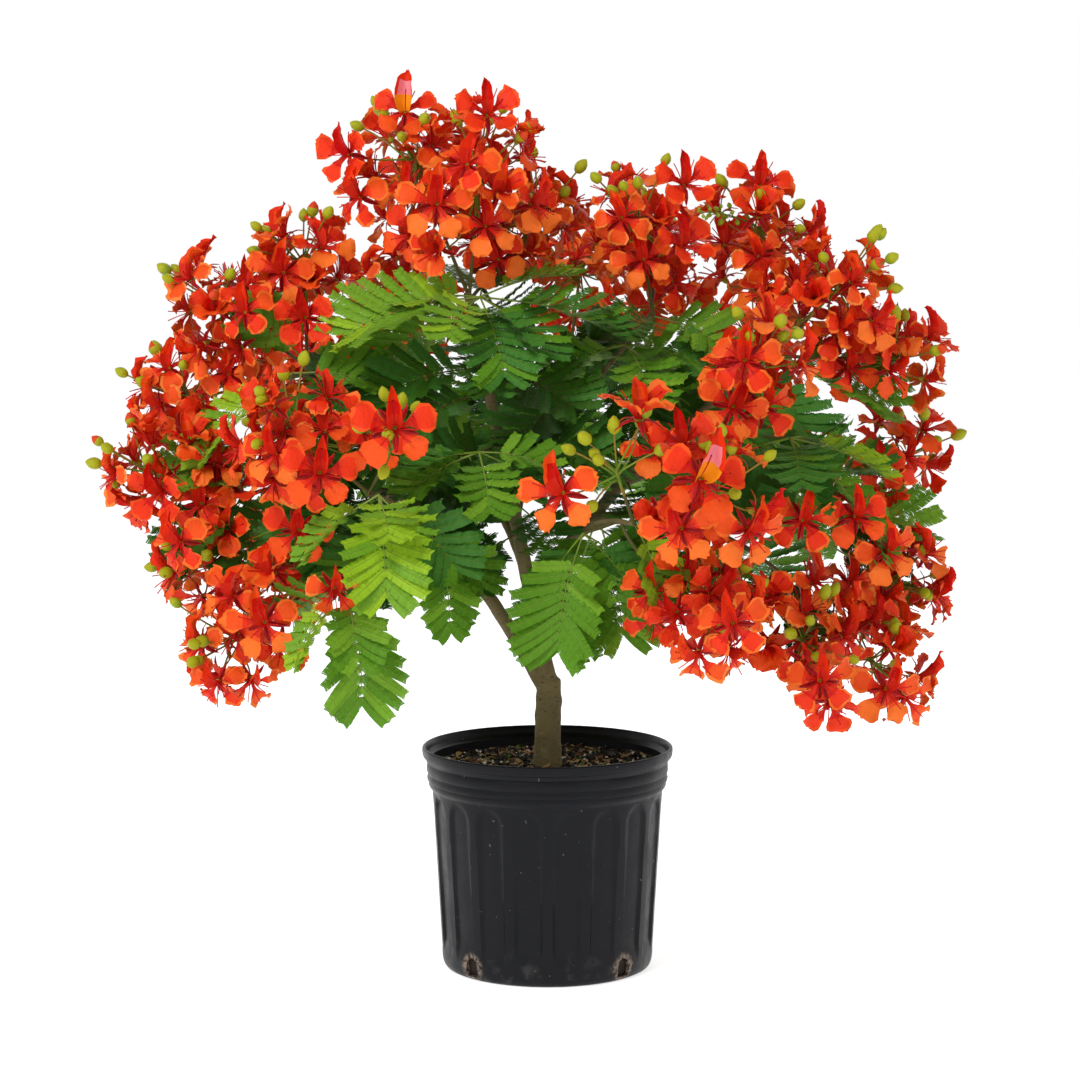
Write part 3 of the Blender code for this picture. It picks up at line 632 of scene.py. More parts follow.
# %% [markdown]
# ## The pot
#
# A nursery pot is blow-moulded in black plastic: a thin wall that narrows downwards, pressed
# in by eighteen round-topped flutes, with a rolled lip and a ribbed collar under it. A turned
# profile gives everything but the flutes. So the profile is turned as a grid of rows and
# columns, and each point of the outer wall is pushed in by how deep it lies inside a flute.
# The four arched drainage holes are cut afterwards with a Boolean.

# %% Pot sizes
POT_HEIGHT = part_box("pot")[1].z
POT_COLUMNS = 288
FLUTES = 18
FLUTE_DEPTH = 0.0030
FLUTE_HALF_WIDTH = 0.0152
FLUTE_EDGE = 0.0020
FLUTE_TOP = 0.1965
FLUTE_FOOT = 0.0280
FLUTE_FOOT_FADE = 0.012
FLUTE_ROWS = 54
WALL_TOP = (0.1300, 0.2012)
WALL_FOOT = (0.1193, 0.0140)
LIP_PROFILE = (
    (0.1366, 0.2430), (0.1374, 0.2488), (0.1386, 0.2500), (0.1400, 0.2501), (0.1412, 0.2490),
    (0.1415, 0.2464), (0.1410, 0.2414), (0.1402, 0.2394), (0.1382, 0.2384), (0.1372, 0.2372),
    (0.1370, 0.2345), (0.1358, 0.2332), (0.1349, 0.2325), (0.1352, 0.2314), (0.1361, 0.2298),
    (0.1362, 0.2232), (0.1356, 0.2216), (0.1347, 0.2206), (0.1347, 0.2198), (0.1353, 0.2184),
    (0.1359, 0.2150), (0.1356, 0.2132), (0.1344, 0.2122), (0.1337, 0.2112), (0.1341, 0.2094),
    (0.1341, 0.2074), (0.1333, 0.2054), (0.1318, 0.2036), (0.1304, 0.2022),
)
FOOT_PROFILE = (
    (0.1190, 0.0104), (0.1184, 0.0066), (0.1172, 0.0034), (0.1156, 0.0012), (0.1132, 0.0001),
    (0.1100, 0.0), (0.1020, 0.0), (0.1000, 0.0012), (0.0400, 0.0014), (0.0380, 0.0), (0.0, 0.0),
)
INNER_PROFILE = (
    (0.0, 0.0029), (0.1080, 0.0029), (0.1142, 0.0062), (0.1252, 0.1980), (0.1300, 0.2130),
    (0.1312, 0.2370), (0.1355, 0.2400),
)
DRAIN_WIDTH = 0.0170
DRAIN_FOOT = 0.0045
DRAIN_HEIGHT = 0.0210
DRAIN_REACH = 0.008
DRAIN_BEARINGS = (45.0, 135.0, 225.0, 315.0)
ARCH_STEPS = 12
SAME_POINT = 0.00001
NO_LENGTH = 0.000001


def smooth_share(value, low, high):
    """0 below the low value, 1 above the high one, and a smooth rise between."""
    share = min(max((value - low) / (high - low), 0.0), 1.0)
    return share * share * (3.0 - 2.0 * share)


def flute_depth(angle, radius, height):
    """How far the wall is pressed in at a place: full inside a flute, nothing outside."""
    pitch = 2.0 * math.pi / FLUTES
    across = (angle % pitch - pitch / 2.0) * radius
    over = max(0.0, height - (FLUTE_TOP - FLUTE_HALF_WIDTH))
    inside = FLUTE_HALF_WIDTH - math.hypot(across, over)
    foot = smooth_share(height, FLUTE_FOOT - FLUTE_FOOT_FADE, FLUTE_FOOT + FLUTE_FOOT_FADE)
    return FLUTE_DEPTH * smooth_share(inside, 0.0, FLUTE_EDGE) * foot


def pot_profile():
    """Radius, height and whether it is fluted, from inside the rim over and down."""
    rows = [(radius, height, False) for radius, height in LIP_PROFILE]
    for row in range(FLUTE_ROWS + 1):
        share = row / FLUTE_ROWS
        radius = WALL_TOP[0] + (WALL_FOOT[0] - WALL_TOP[0]) * share
        rows.append((radius, WALL_TOP[1] + (WALL_FOOT[1] - WALL_TOP[1]) * share, True))
    rows.extend((radius, height, False) for radius, height in FOOT_PROFILE + INNER_PROFILE)
    return rows


def turned(rows, columns, depth_at):
    """A closed turned mesh whose points are pushed in by a depth function."""
    shape = bmesh.new()
    rings = []
    for radius, height, fluted in rows:
        ring = []
        for column in range(columns):
            angle = 2.0 * math.pi * column / columns
            here = radius - (depth_at(angle, radius, height) if fluted else 0.0)
            ring.append(shape.verts.new((here * math.sin(angle), -here * math.cos(angle), height)))
        rings.append(ring)
    join_rings(shape, rings + rings[:1], inward=True)
    bmesh.ops.remove_doubles(shape, verts=shape.verts, dist=SAME_POINT)
    bmesh.ops.dissolve_degenerate(shape, edges=shape.edges, dist=NO_LENGTH)
    bmesh.ops.recalc_face_normals(shape, faces=shape.faces)
    return shape


def arch_cutter(bearing):
    """An arched block through the foot of the wall."""
    half = DRAIN_WIDTH / 2.0
    shoulder = DRAIN_HEIGHT - half
    outline = [(-half, 0.0), (half, 0.0)]
    for index in range(ARCH_STEPS + 1):
        angle = math.pi * index / ARCH_STEPS
        outline.append((half * math.cos(angle), shoulder + half * math.sin(angle)))
    shape = bmesh.new()
    face = shape.faces.new([shape.verts.new((across, rise, 0.0)) for across, rise in outline])
    made = bmesh.ops.extrude_face_region(shape, geom=[face])
    raised = [part for part in made["geom"] if isinstance(part, bmesh.types.BMVert)]
    bmesh.ops.translate(shape, verts=raised, vec=(0.0, 0.0, 2.0 * DRAIN_REACH))
    outward = toward(bearing, 0.0)
    frame_matrix = Matrix((UP.cross(outward), UP, outward)).transposed().to_4x4()
    frame_matrix.translation = outward * (WALL_FOOT[0] - DRAIN_REACH) + UP * DRAIN_FOOT
    shape.transform(frame_matrix)
    bmesh.ops.recalc_face_normals(shape, faces=shape.faces)
    return shape


print(f"pot: {POT_HEIGHT * 1000.0:.0f} mm high, {FLUTES} flutes")

# %% [markdown]
# ### Black plastic
#
# The plastic is a soft satin black with a cold cast. It has picked up pale dust in specks and
# faint rings, most of it low down and round the drainage holes, where water has dried. The
# dust is worked out from the place on the pot, because the pot is one large piece that keeps
# its own coordinates.

# %% Pot finish
PLASTIC_ROUGHNESS = 0.42
PLASTIC_SMOOTHEST = 0.30
PLASTIC_ROUGHEST = 0.44
PLASTIC_GLOSS = 0.17
PLASTIC_RELIEF = 0.00025
PLASTIC_COLOURS = ((9, 14, 20), (15, 12, 17))
FILM_COLOUR = (70, 66, 64)
FILM_STRENGTH = 0.55
FILM_TOP = 0.050
FILM_FOOT = 0.002
RING_COLOUR = (140, 124, 108)
RING_STRENGTH = 0.8
RING_INSIDE = 0.011
RING_OUTSIDE = 0.019
SHARP_EDGE = math.radians(40.0)
Layer = namedtuple("Layer", "colour strength low high scale detail stretch")
SPECKS = Layer((128, 126, 124), 0.5, 0.765, 0.80, 230.0, 1.0, None)


def mixed(tree, factor, *ends):
    """One colour fading to another by a factor; both may be outputs or screen colours."""
    first, second = (end if isinstance(end, bpy.types.NodeSocket) else shown(end) for end in ends)
    return step(tree, "ShaderNodeMix", {0: factor, 6: first, 7: second},
                data_type="RGBA").outputs[2]


def layered(tree, place, body, layer):
    """A body colour with another laid over it in patches, where a noise is high."""
    patches = noised(tree, place, layer.scale, layer.detail, layer.stretch)
    patches = ranged(tree, patches, layer.low, layer.high, 0.0, layer.strength)
    return mixed(tree, patches, body, layer.colour)


def dusty(tree, place, body):
    """A body colour with a dry film low down and a ring of dust round every drainage hole."""
    height = step(tree, "ShaderNodeSeparateXYZ", {0: place}).outputs[2]
    cloud = ranged(tree, noised(tree, place, 70.0, 6.0), 0.50, 0.75)
    film = worked(tree, "MULTIPLY", ranged(tree, height, FILM_TOP, FILM_FOOT), cloud)
    body = mixed(tree, worked(tree, "MULTIPLY", film, FILM_STRENGTH), body, FILM_COLOUR)
    folded = step(tree, "ShaderNodeVectorMath", {0: place}, operation="ABSOLUTE").outputs[0]
    hole = toward(DRAIN_BEARINGS[0], 0.0) * WALL_FOOT[0]
    away = step(tree, "ShaderNodeVectorMath",
                {0: folded, 1: (abs(hole.x), abs(hole.y), DRAIN_FOOT + DRAIN_HEIGHT / 2.0)},
                operation="DISTANCE").outputs["Value"]
    grit = ranged(tree, noised(tree, place, 240.0, 4.0), 0.36, 0.60)
    ring = worked(tree, "MULTIPLY", ranged(tree, away, RING_OUTSIDE, RING_INSIDE), grit)
    return mixed(tree, worked(tree, "MULTIPLY", ring, RING_STRENGTH), body, RING_COLOUR)


def plastic_finish():
    """Satin black plastic with dust low down, round the holes and in specks."""
    material, tree, shader = new_material("black_plastic", PLASTIC_ROUGHNESS)
    shader.inputs["Specular IOR Level"].default_value = PLASTIC_GLOSS
    place = own_place(tree)
    body = mixed(tree, noised(tree, place, 14.0), *PLASTIC_COLOURS)
    body = layered(tree, place, dusty(tree, place, body), SPECKS)
    tree.links.new(body, shader.inputs["Base Color"])
    rough = ranged(tree, noised(tree, place, 40.0), 0.3, 0.7, PLASTIC_SMOOTHEST, PLASTIC_ROUGHEST)
    tree.links.new(rough, shader.inputs["Roughness"])
    add_relief(tree, shader, noised(tree, place, 420.0, 2.0), PLASTIC_RELIEF)
    return material


def make_pot():
    """The fluted pot with its drainage holes cut through."""
    shell = mesh_of(turned(pot_profile(), POT_COLUMNS, flute_depth), "pot_shell")
    pot = put_in_scene("pot_blank", shell)
    cutters = [put_in_scene("arch", mesh_of(arch_cutter(bearing), "arch"))
               for bearing in DRAIN_BEARINGS]
    for cutter in cutters:
        pot.modifiers.new("drain", "BOOLEAN").object = cutter
    mesh = settled(pot, "pot_shell")
    for cutter in cutters:
        bpy.data.objects.remove(cutter, do_unlink=True)
    mesh.materials.clear()
    mesh.materials.append(plastic_finish())
    mesh.shade_smooth()
    mesh.set_sharp_from_angle(angle=SHARP_EDGE)
    return mesh


show("pot_shell", make_pot(), ["pot"], smooth=False)

# %% [markdown]
# ## The potting mix
#
# The mix is composted bark: dark, loose and lumpy, with white perlite, paler wood fibre and a
# few green sprigs. A bed with a noisy top fills the pot. The loose bits are scattered over it
# by a tree that drops points on the faces with a fixed seed and gives each its own turn and
# size, which is how such litter really lies: at random, but evenly.

# %% Soil bed
SOIL_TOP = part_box("soil")[1].z
SOIL_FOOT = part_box("soil")[0].z
SOIL_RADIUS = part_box("soil")[1].x - 0.0004
SOIL_SIDE = ((0.1245, 0.196), (0.1130, 0.0063), (0.1080, SOIL_FOOT), (0.0, SOIL_FOOT))
SOIL_RINGS = 46
SOIL_COLUMNS = 160
SOIL_BUMP = 0.0046
COARSE_GRAIN = 42.0
COARSE_SHARE = 0.6
FINE_GRAIN = 150.0
SOIL_EDGE_FROM = 0.06
SOIL_EDGE_TO = 0.12
SOIL_RISE = 0.0022
SOIL_EDGE_RISE = 0.0020
TRUNK_MOUND = 0.0035
TRUNK_MOUND_RADIUS = 0.034


def soil_height(x, y):
    """The lumpy top of the mix, heaped a little round the trunk and at the wall."""
    coarse = noise.noise(Vector((x, y, 0.3)) * COARSE_GRAIN)
    fine = noise.noise(Vector((x, y, 0.7)) * FINE_GRAIN)
    lumps = COARSE_SHARE * coarse + (1.0 - COARSE_SHARE) * fine
    away = math.hypot(x, y)
    mound = TRUNK_MOUND * (1.0 - smooth_share(away, 0.0, TRUNK_MOUND_RADIUS))
    edge = SOIL_EDGE_RISE * smooth_share(away, SOIL_EDGE_FROM, SOIL_EDGE_TO)
    return SOIL_TOP + SOIL_RISE + SOIL_BUMP * lumps + mound + edge


def soil_ring(shape, radius, height_at):
    """One ring of the bed's points, at the heights that a function gives."""
    ring = []
    for column in range(SOIL_COLUMNS):
        angle = 2.0 * math.pi * column / SOIL_COLUMNS
        x = radius * math.sin(angle)
        y = -radius * math.cos(angle)
        ring.append(shape.verts.new((x, y, height_at(x, y))))
    return ring


def soil_bed():
    """The closed body of the mix: a noisy top, a plain side and a flat foot."""
    shape = bmesh.new()
    rings = [soil_ring(shape, SOIL_RADIUS * ring / SOIL_RINGS, soil_height)
             for ring in range(SOIL_RINGS + 1)]
    rings += [soil_ring(shape, radius, lambda x, y, height=height: height)
              for radius, height in SOIL_SIDE]
    join_rings(shape, rings, inward=True)
    bmesh.ops.remove_doubles(shape, verts=shape.verts, dist=SAME_POINT)
    bmesh.ops.recalc_face_normals(shape, faces=shape.faces)
    return mesh_of(shape, "potting_mix", soil_finish())


Ground = namedtuple("Ground", "scale detail dark light")
Relief = namedtuple("Relief", "scale detail stretch depth")


def natural_finish(name, roughness, ground, layers, relief):
    """A rough natural material: two ground colours, patches over them, and a relief."""
    material, tree, shader = new_material(name, roughness)
    place = own_place(tree)
    body = mixed(tree, noised(tree, place, ground.scale, ground.detail), ground.dark, ground.light)
    for layer in layers:
        body = layered(tree, place, body, layer)
    tree.links.new(body, shader.inputs["Base Color"])
    height = noised(tree, place, relief.scale, relief.detail, relief.stretch)
    add_relief(tree, shader, height, relief.depth)
    return material


SOIL_ROUGHNESS = 0.92
SOIL_GROUND = Ground(110.0, 6.0, (10, 7, 5), (48, 32, 22))
SOIL_FIBRE = Layer((112, 84, 54), 0.6, 0.66, 0.74, 240.0, 3.0, (1.0, 0.35, 1.0))
SOIL_RELIEF = Relief(300.0, 5.0, None, 0.0022)


def soil_finish():
    """Dark composted bark with paler fibre in it."""
    return natural_finish("composted_bark", SOIL_ROUGHNESS, SOIL_GROUND, [SOIL_FIBRE], SOIL_RELIEF)


soil_mesh = soil_bed()
show("potting_mix", soil_mesh, ["soil"])

# %% [markdown]
# ### Litter on the soil
#
# Four kinds of loose bits lie on the mix. Each kind has a few template shapes: a lump is a
# sphere pushed about by noise, a chip is a flat splinter, a fibre is a bent thread and a
# sprig is a pair of tiny leaves. They share one scattering tree.

# %% Litter
LITTER = {
    "crumb_dark": ((17, 12, 9), 0.95),
    "crumb_brown": ((50, 34, 23), 0.95),
    "chip": ((106, 76, 52), 0.90),
    "chip_dark": ((30, 21, 15), 0.90),
    "chip_pale": ((164, 132, 94), 0.90),
    "perlite": ((226, 220, 204), 0.85),
    "fibre": ((172, 142, 102), 0.85),
    "sprig": ((92, 122, 40), 0.60),
}
LITTER_GRAIN = 500.0
LITTER_DEPTH = 0.0008
LUMP_SWELL = 0.45
LUMP_GRAIN = 2.3
LUMP_BREADTH = 0.8
THREAD_RINGS = 6
THREAD_THICK = 0.034
THREAD_TURNS = (0.0, 2.1, 4.2)
CHIP_BREADTH = 0.42
CHIP_THICK = 0.13
BLADE_ROWS = ((0.0, 0.3), (0.55, 1.0), (1.0, 0.3))
BLADE_BREADTH = 0.11
LEAST_TURN = (-0.5, -0.5, 0.0)
MOST_TURN = (0.5, 0.5, 6.283)
SHAPES_TO_PICK = 50
LITTER_LOWEST = 0.21
LITTER_EDGE = 0.006
LITTER_BARE = 0.021
Scatter = namedtuple("Scatter", "shapes density smallest largest seed")


def litter_finish(name):
    """A plain rough finish for one kind of litter."""
    colour, roughness = LITTER[name]
    return plain_finish(name, Finish(colour, roughness, LITTER_GRAIN, LITTER_DEPTH))


def lump(finish, seed, squash):
    """A sphere pushed about by noise, about 1 across."""
    shape = bmesh.new()
    bmesh.ops.create_icosphere(shape, subdivisions=1, radius=0.5)
    for vert in shape.verts:
        swell = 1.0 + LUMP_SWELL * noise.noise(vert.co * LUMP_GRAIN + Vector((seed, 0.0, 0.0)))
        vert.co *= swell
        vert.co.y *= LUMP_BREADTH
        vert.co.z *= squash
    return mesh_of(shape, "lump", finish)


def thread(finish, seed):
    """A thin bent fibre, 1 long."""
    chance = random.Random(seed)
    shape = bmesh.new()
    rings = []
    for index in range(THREAD_RINGS):
        share = index / (THREAD_RINGS - 1.0)
        middle = Vector((share - 0.5, chance.uniform(-0.09, 0.09),
                         0.06 + chance.uniform(-0.05, 0.09)))
        rings.append([shape.verts.new(
            middle + Vector((0.0, math.cos(turn), math.sin(turn))) * THREAD_THICK)
            for turn in THREAD_TURNS])
    join_rings(shape, rings)
    return mesh_of(shape, "thread", finish)


def splinter(finish, seed):
    """A flat chip of bark, 1 long, with uneven ends."""
    chance = random.Random(seed)
    shape = bmesh.new()
    made = bmesh.ops.create_cube(shape, size=1.0)
    for vert in made["verts"]:
        vert.co = Vector((vert.co.x + chance.uniform(-0.14, 0.14),
                          vert.co.y * CHIP_BREADTH + chance.uniform(-0.07, 0.07),
                          vert.co.z * CHIP_THICK))
    bmesh.ops.bevel(shape, geom=shape.edges, offset=0.03, segments=1, affect="EDGES")
    return mesh_of(shape, "splinter", finish)


def sprig(finish, seed):
    """A seedling 1 across: three small blades that stand up from one foot."""
    chance = random.Random(seed)
    shape = bmesh.new()
    for index in range(3):
        out = toward(120.0 * index + chance.uniform(-25.0, 25.0), chance.uniform(20.0, 60.0))
        side = square_to(out) * BLADE_BREADTH
        rows = [(shape.verts.new(out * share * 0.5 - side * width),
                 shape.verts.new(out * share * 0.5 + side * width))
                for share, width in BLADE_ROWS]
        for near, far in zip(rows, rows[1:]):
            shape.faces.new((near[0], near[1], far[1], far[0]))
    return mesh_of(shape, "sprig", finish)


def make_scatter_tree():
    """Shapes dropped over a surface, each with its own turn and size."""
    tree, sizes = new_tree("litter", {"Shapes": "Collection", "Density": "Float",
                                      "Smallest": "Float", "Largest": "Float", "Seed": "Int"})
    dropped = step(tree, "GeometryNodeDistributePointsOnFaces",
                   {"Mesh": sizes["Geometry"], "Density": sizes["Density"], "Seed": sizes["Seed"]})
    turn = step(tree, "FunctionNodeRandomValue",
                {0: LEAST_TURN, 1: MOST_TURN, "Seed": sizes["Seed"]},
                data_type="FLOAT_VECTOR").outputs[0]
    size = step(tree, "FunctionNodeRandomValue",
                {2: sizes["Smallest"], 3: sizes["Largest"], "Seed": sizes["Seed"]}).outputs[1]
    pick = step(tree, "FunctionNodeRandomValue", {4: 0, 5: SHAPES_TO_PICK, "Seed": sizes["Seed"]},
                data_type="INT").outputs[2]
    return end_tree(tree, put_shapes(tree, dropped.outputs[0], sizes["Shapes"], pick, turn, size))


litter_finishes = {name: litter_finish(name) for name in LITTER}
LITTER_PLAN = (
    Scatter([lump(litter_finishes[name], seed, 0.7) for seed, name in
             enumerate(("crumb_dark", "crumb_brown", "crumb_dark", "chip_dark"))],
            32000.0, 0.0022, 0.0062, 3),
    Scatter([splinter(litter_finishes[name], seed) for seed, name in
             enumerate(("chip", "chip_dark", "chip_dark", "chip_pale", "chip_dark"))],
            6500.0, 0.006, 0.017, 5),
    Scatter([lump(litter_finishes["perlite"], seed, 0.9) for seed in (7, 8, 9)],
            3600.0, 0.0028, 0.0058, 11),
    Scatter([thread(litter_finishes["fibre"], seed) for seed in (1, 2, 3)],
            1700.0, 0.012, 0.028, 13),
    Scatter([sprig(litter_finishes["sprig"], seed) for seed in (4, 5)],
            420.0, 0.009, 0.016, 17),
)


def soil_top_patch():
    """The open middle of the soil's top, which the litter lies on."""
    shape = bmesh.new()
    shape.from_mesh(soil_mesh)
    away = []
    for face in shape.faces:
        middle = face.calc_center_median()
        inside = LITTER_BARE <= middle.xy.length <= SOIL_RADIUS - LITTER_EDGE
        if not inside or middle.z < LITTER_LOWEST:
            away.append(face)
    bmesh.ops.delete(shape, geom=away, context="FACES")
    return mesh_of(shape, "soil_top")


def joined_meshes(name, meshes):
    """Several meshes as one, each face keeping its own finish."""
    shape = bmesh.new()
    slots = []
    for mesh in meshes:
        start = len(shape.faces)
        shape.from_mesh(mesh)
        shape.faces.ensure_lookup_table()
        for face in shape.faces[start:]:
            material = mesh.materials[face.material_index]
            if material not in slots:
                slots.append(material)
            face.material_index = slots.index(material)
    return mesh_of(shape, name, *slots)


scatter_tree = make_scatter_tree()
soil_top = soil_top_patch()
litter = [grown("litter", soil_top, scatter_tree,
                {"Shapes": shape_set(f"litter_{index}", plan.shapes), "Density": plan.density,
                 "Smallest": plan.smallest, "Largest": plan.largest, "Seed": plan.seed})
          for index, plan in enumerate(LITTER_PLAN)]
show("soil_litter", joined_meshes("soil_litter", litter), ["soil"], smooth=False)

# %% [markdown]
# ## Where the wood runs
#
# A bough is described by its parent, how far up the parent it starts, the way it runs, how
# much it arches and its radius at the foot. Following the table from the trunk outwards gives
# every limb as a route with a radius at each ring. This is the rule that made the plain
# limbs, so the bark drawn over them lies where they lie.

# %% Trunk and boughs
TRUNK_FORK_HEIGHT = 0.325
TRUNK_LEAN = 0.002
TRUNK_PLUMB_SHARE = 0.06
TRUNK_FOOT_RADIUS = 0.0190
TRUNK_RADIUS = 0.0152
TRUNK_FORK_RADIUS = 0.0138
TRUNK_FLARE_HEIGHT = 0.010
TRUNK_RING_CROWDING = 1.6
TRUNK_SINK = 0.005
Bough = namedtuple("Bough", "parent station bearing pitch run arch foot")
BOUGHS = {
    "leader": Bough("trunk", 0.93, -72, 78, 0.457, 0.02, 0.0094),
    "bough_left_high": Bough("trunk", 0.90, -90, 54, 0.458, 0.05, 0.0084),
    "bough_left_out": Bough("bough_left_high", 0.50, -78, 6, 0.200, 0.10, 0.0052),
    "bough_front_left": Bough("bough_left_high", 0.33, -27, 24, 0.245, 0.06, 0.0058),
    "bough_left_low": Bough("bough_left_high", 0.25, -52, 11, 0.213, 0.10, 0.0050),
    "bough_right_high": Bough("leader", 0.24, 89, 44, 0.377, 0.05, 0.0072),
    "bough_mid": Bough("leader", 0.45, 105, 52, 0.265, 0.05, 0.0052),
    "bough_front_right": Bough("bough_right_high", 0.15, 20, 12, 0.210, 0.06, 0.0054),
    "bough_right_mid": Bough("bough_right_high", 0.40, 99, -7, 0.237, 0.12, 0.0048),
    "bough_right_low": Bough("bough_right_high", 0.25, 66, -12, 0.227, 0.12, 0.0048),
    "bough_right_front": Bough("bough_right_high", 0.50, 37, 13, 0.145, 0.06, 0.0046),
    "bough_back_left": Bough("leader", 0.30, -152, 34, 0.352, 0.08, 0.0060),
    "bough_back_mid": Bough("leader", 0.42, 167, 32, 0.342, 0.08, 0.0056),
    "bough_back_right": Bough("bough_right_high", 0.30, 152, 17, 0.306, 0.08, 0.0056),
    "bough_back_low": Bough("bough_left_high", 0.30, -140, 12, 0.240, 0.10, 0.0050),
}
BOUGH_TIP_SHARE = 0.52
LIMB_RINGS = 7
COLLAR_SWELL = 0.28
COLLAR_SHARE = 0.07
Limb = namedtuple("Limb", "route radii")


def place_on(route, station):
    """The point and the direction of a route at a share of its length."""
    along = station * (len(route) - 1)
    index = min(int(along), len(route) - 2)
    start = route[index]
    run = route[index + 1] - start
    return start + run * (along - index), run.normalized()


def trunk_limb():
    """The trunk's route and radii: a flared foot, then a slow taper up to the fork."""
    route = []
    radii = []
    for ring in range(LIMB_RINGS):
        share = (ring / (LIMB_RINGS - 1)) ** TRUNK_RING_CROWDING
        above = (TRUNK_FORK_HEIGHT - SOIL_TOP) * share
        lean = TRUNK_LEAN * max(0.0, share - TRUNK_PLUMB_SHARE)
        taper = TRUNK_RADIUS + (TRUNK_FORK_RADIUS - TRUNK_RADIUS) * share
        flare = (TRUNK_FOOT_RADIUS - TRUNK_RADIUS) * math.exp(-above / TRUNK_FLARE_HEIGHT)
        route.append(Vector((lean, 0.0, SOIL_TOP + above)))
        radii.append(taper + flare)
    return Limb(route, radii)


def bough_limb(bough, parent, rings=LIMB_RINGS):
    """A bough's route and radii: it starts in its parent and arches over to its tip."""
    start, _ = place_on(parent.route, bough.station)
    run = toward(bough.bearing, bough.pitch) * bough.run
    route = []
    radii = []
    for ring in range(rings):
        share = ring / (rings - 1)
        arch = UP * bough.arch * bough.run * 4.0 * share * (1.0 - share)
        route.append(start + run * share + arch)
        radii.append(bough.foot * (1.0 + (BOUGH_TIP_SHARE - 1.0) * share))
    return Limb(route, radii)


limbs = {"trunk": trunk_limb()}
for bough_name, bough in BOUGHS.items():
    limbs[bough_name] = bough_limb(bough, limbs[bough.parent])
print(f"{len(limbs)} limbs, the longest {max(b.run for b in BOUGHS.values()) * 1000.0:.0f} mm")

# %% [markdown]
# ### Wood that grows together
#
# A real fork isn't two pipes pushed into each other: the bark flows from one into the other,
# with a small collar under every branch. So the swept limbs are joined by remeshing them on a
# fine grid, and then relaxed. The bark's relief is added last. Young poinciana bark is thin,
# olive brown and nearly smooth, with short raised pores across it and a few knots where old
# leaves fell.

# %% Wood mesh
FINE_RINGS = 40
WOOD_CORNERS = 24
WOOD_GRID = 0.0018
WOOD_RELAX_STEPS = 3
Knot = namedtuple("Knot", "bearing height reach swell")
TRUNK_KNOTS = (
    Knot(-38, 0.262, 0.0075, 0.0020), Knot(22, 0.292, 0.0065, 0.0016),
    Knot(60, 0.247, 0.0060, 0.0014), Knot(-8, 0.240, 0.0070, 0.0012),
    Knot(150, 0.270, 0.0075, 0.0018), Knot(-120, 0.285, 0.0070, 0.0018),
    Knot(-65, 0.305, 0.0060, 0.0014), Knot(100, 0.300, 0.0065, 0.0016),
)
BARK_ROUGHNESS = 0.80
BARK_GROUND = Ground(38.0, 4.0, (82, 69, 38), (128, 113, 70))
BARK_GREEN = Layer((92, 92, 50), 0.4, 0.46, 0.70, 16.0, 3.0, None)
BARK_PORES = Layer((48, 36, 26), 0.7, 0.60, 0.68, 150.0, 2.0, (1.0, 1.0, 3.4))
BARK_GREY = Layer((140, 128, 100), 0.5, 0.64, 0.74, 90.0, 3.0, (1.0, 1.0, 2.2))
BARK_RELIEF = Relief(260.0, 4.0, (1.0, 1.0, 1.8), 0.0010)
WOOD_RELAX = 0.5
BURIED_SWELL = 1.08
FORK_SHARE = 0.55
RIPPLE = 0.00045
RIPPLE_GRAIN = 90.0
PORE = 0.00028
PORE_GRAIN = (160.0, 160.0, 520.0)
PORE_LEAST = 0.15
TRUNK_WAVE = 0.0006
TRUNK_WAVE_GRAIN = 34.0


def add_wood_line(lines, limb, collared):
    """One limb as a line; a collar swells the foot of a bough."""
    radii = []
    for ring, radius in enumerate(limb.radii):
        share = ring / (len(limb.radii) - 1)
        collar = COLLAR_SWELL * math.exp(-share / COLLAR_SHARE) if collared else 0.0
        radii.append(radius * (1.0 + collar))
    lines.add_radii(limb.route, radii, "twig")


def swept_wood():
    """Every limb swept as a tube, not yet grown together."""
    lines = Lines()
    trunk = limbs["trunk"]
    below = trunk.route[0] - UP * TRUNK_SINK
    top = trunk.route[-1] + UP * TRUNK_SINK
    add_wood_line(lines, Limb([below, *trunk.route, top],
                              [trunk.radii[0] * BURIED_SWELL, *trunk.radii,
                               trunk.radii[-1] * FORK_SHARE]), False)
    for name, bough in BOUGHS.items():
        add_wood_line(lines, bough_limb(bough, limbs[bough.parent], FINE_RINGS), True)
    return grown("swept_wood", lines.mesh(), sweep_tree, {"Corners": WOOD_CORNERS})


def grown_together(mesh):
    """The tubes joined on a fine grid and relaxed."""
    thing = put_in_scene("wood_blank", mesh)
    remesh = thing.modifiers.new("join", "REMESH")
    remesh.mode = "VOXEL"
    remesh.voxel_size = WOOD_GRID
    relax = thing.modifiers.new("relax", "SMOOTH")
    relax.factor = WOOD_RELAX
    relax.iterations = WOOD_RELAX_STEPS
    joined = settled(thing, "wood")
    joined.materials.clear()
    return joined


def bark_relief(place):
    """How far the bark stands out at a place: ripples, pores and knots."""
    ripple = RIPPLE * noise.noise(place * RIPPLE_GRAIN)
    pores = noise.noise(place * Vector(PORE_GRAIN))
    relief = ripple + PORE * max(0.0, pores - PORE_LEAST)
    if place.z < TRUNK_FORK_HEIGHT:
        for knot in TRUNK_KNOTS:
            middle = toward(knot.bearing, 0.0) * TRUNK_RADIUS + UP * knot.height
            relief += knot.swell * math.exp(-((place - middle).length / knot.reach) ** 2)
        relief += TRUNK_WAVE * noise.noise(place * TRUNK_WAVE_GRAIN)
    return relief


def bark_finish():
    """Olive-brown bark with greener patches and dark pores across it."""
    return natural_finish("bark", BARK_ROUGHNESS, BARK_GROUND,
                          [BARK_GREEN, BARK_PORES, BARK_GREY], BARK_RELIEF)


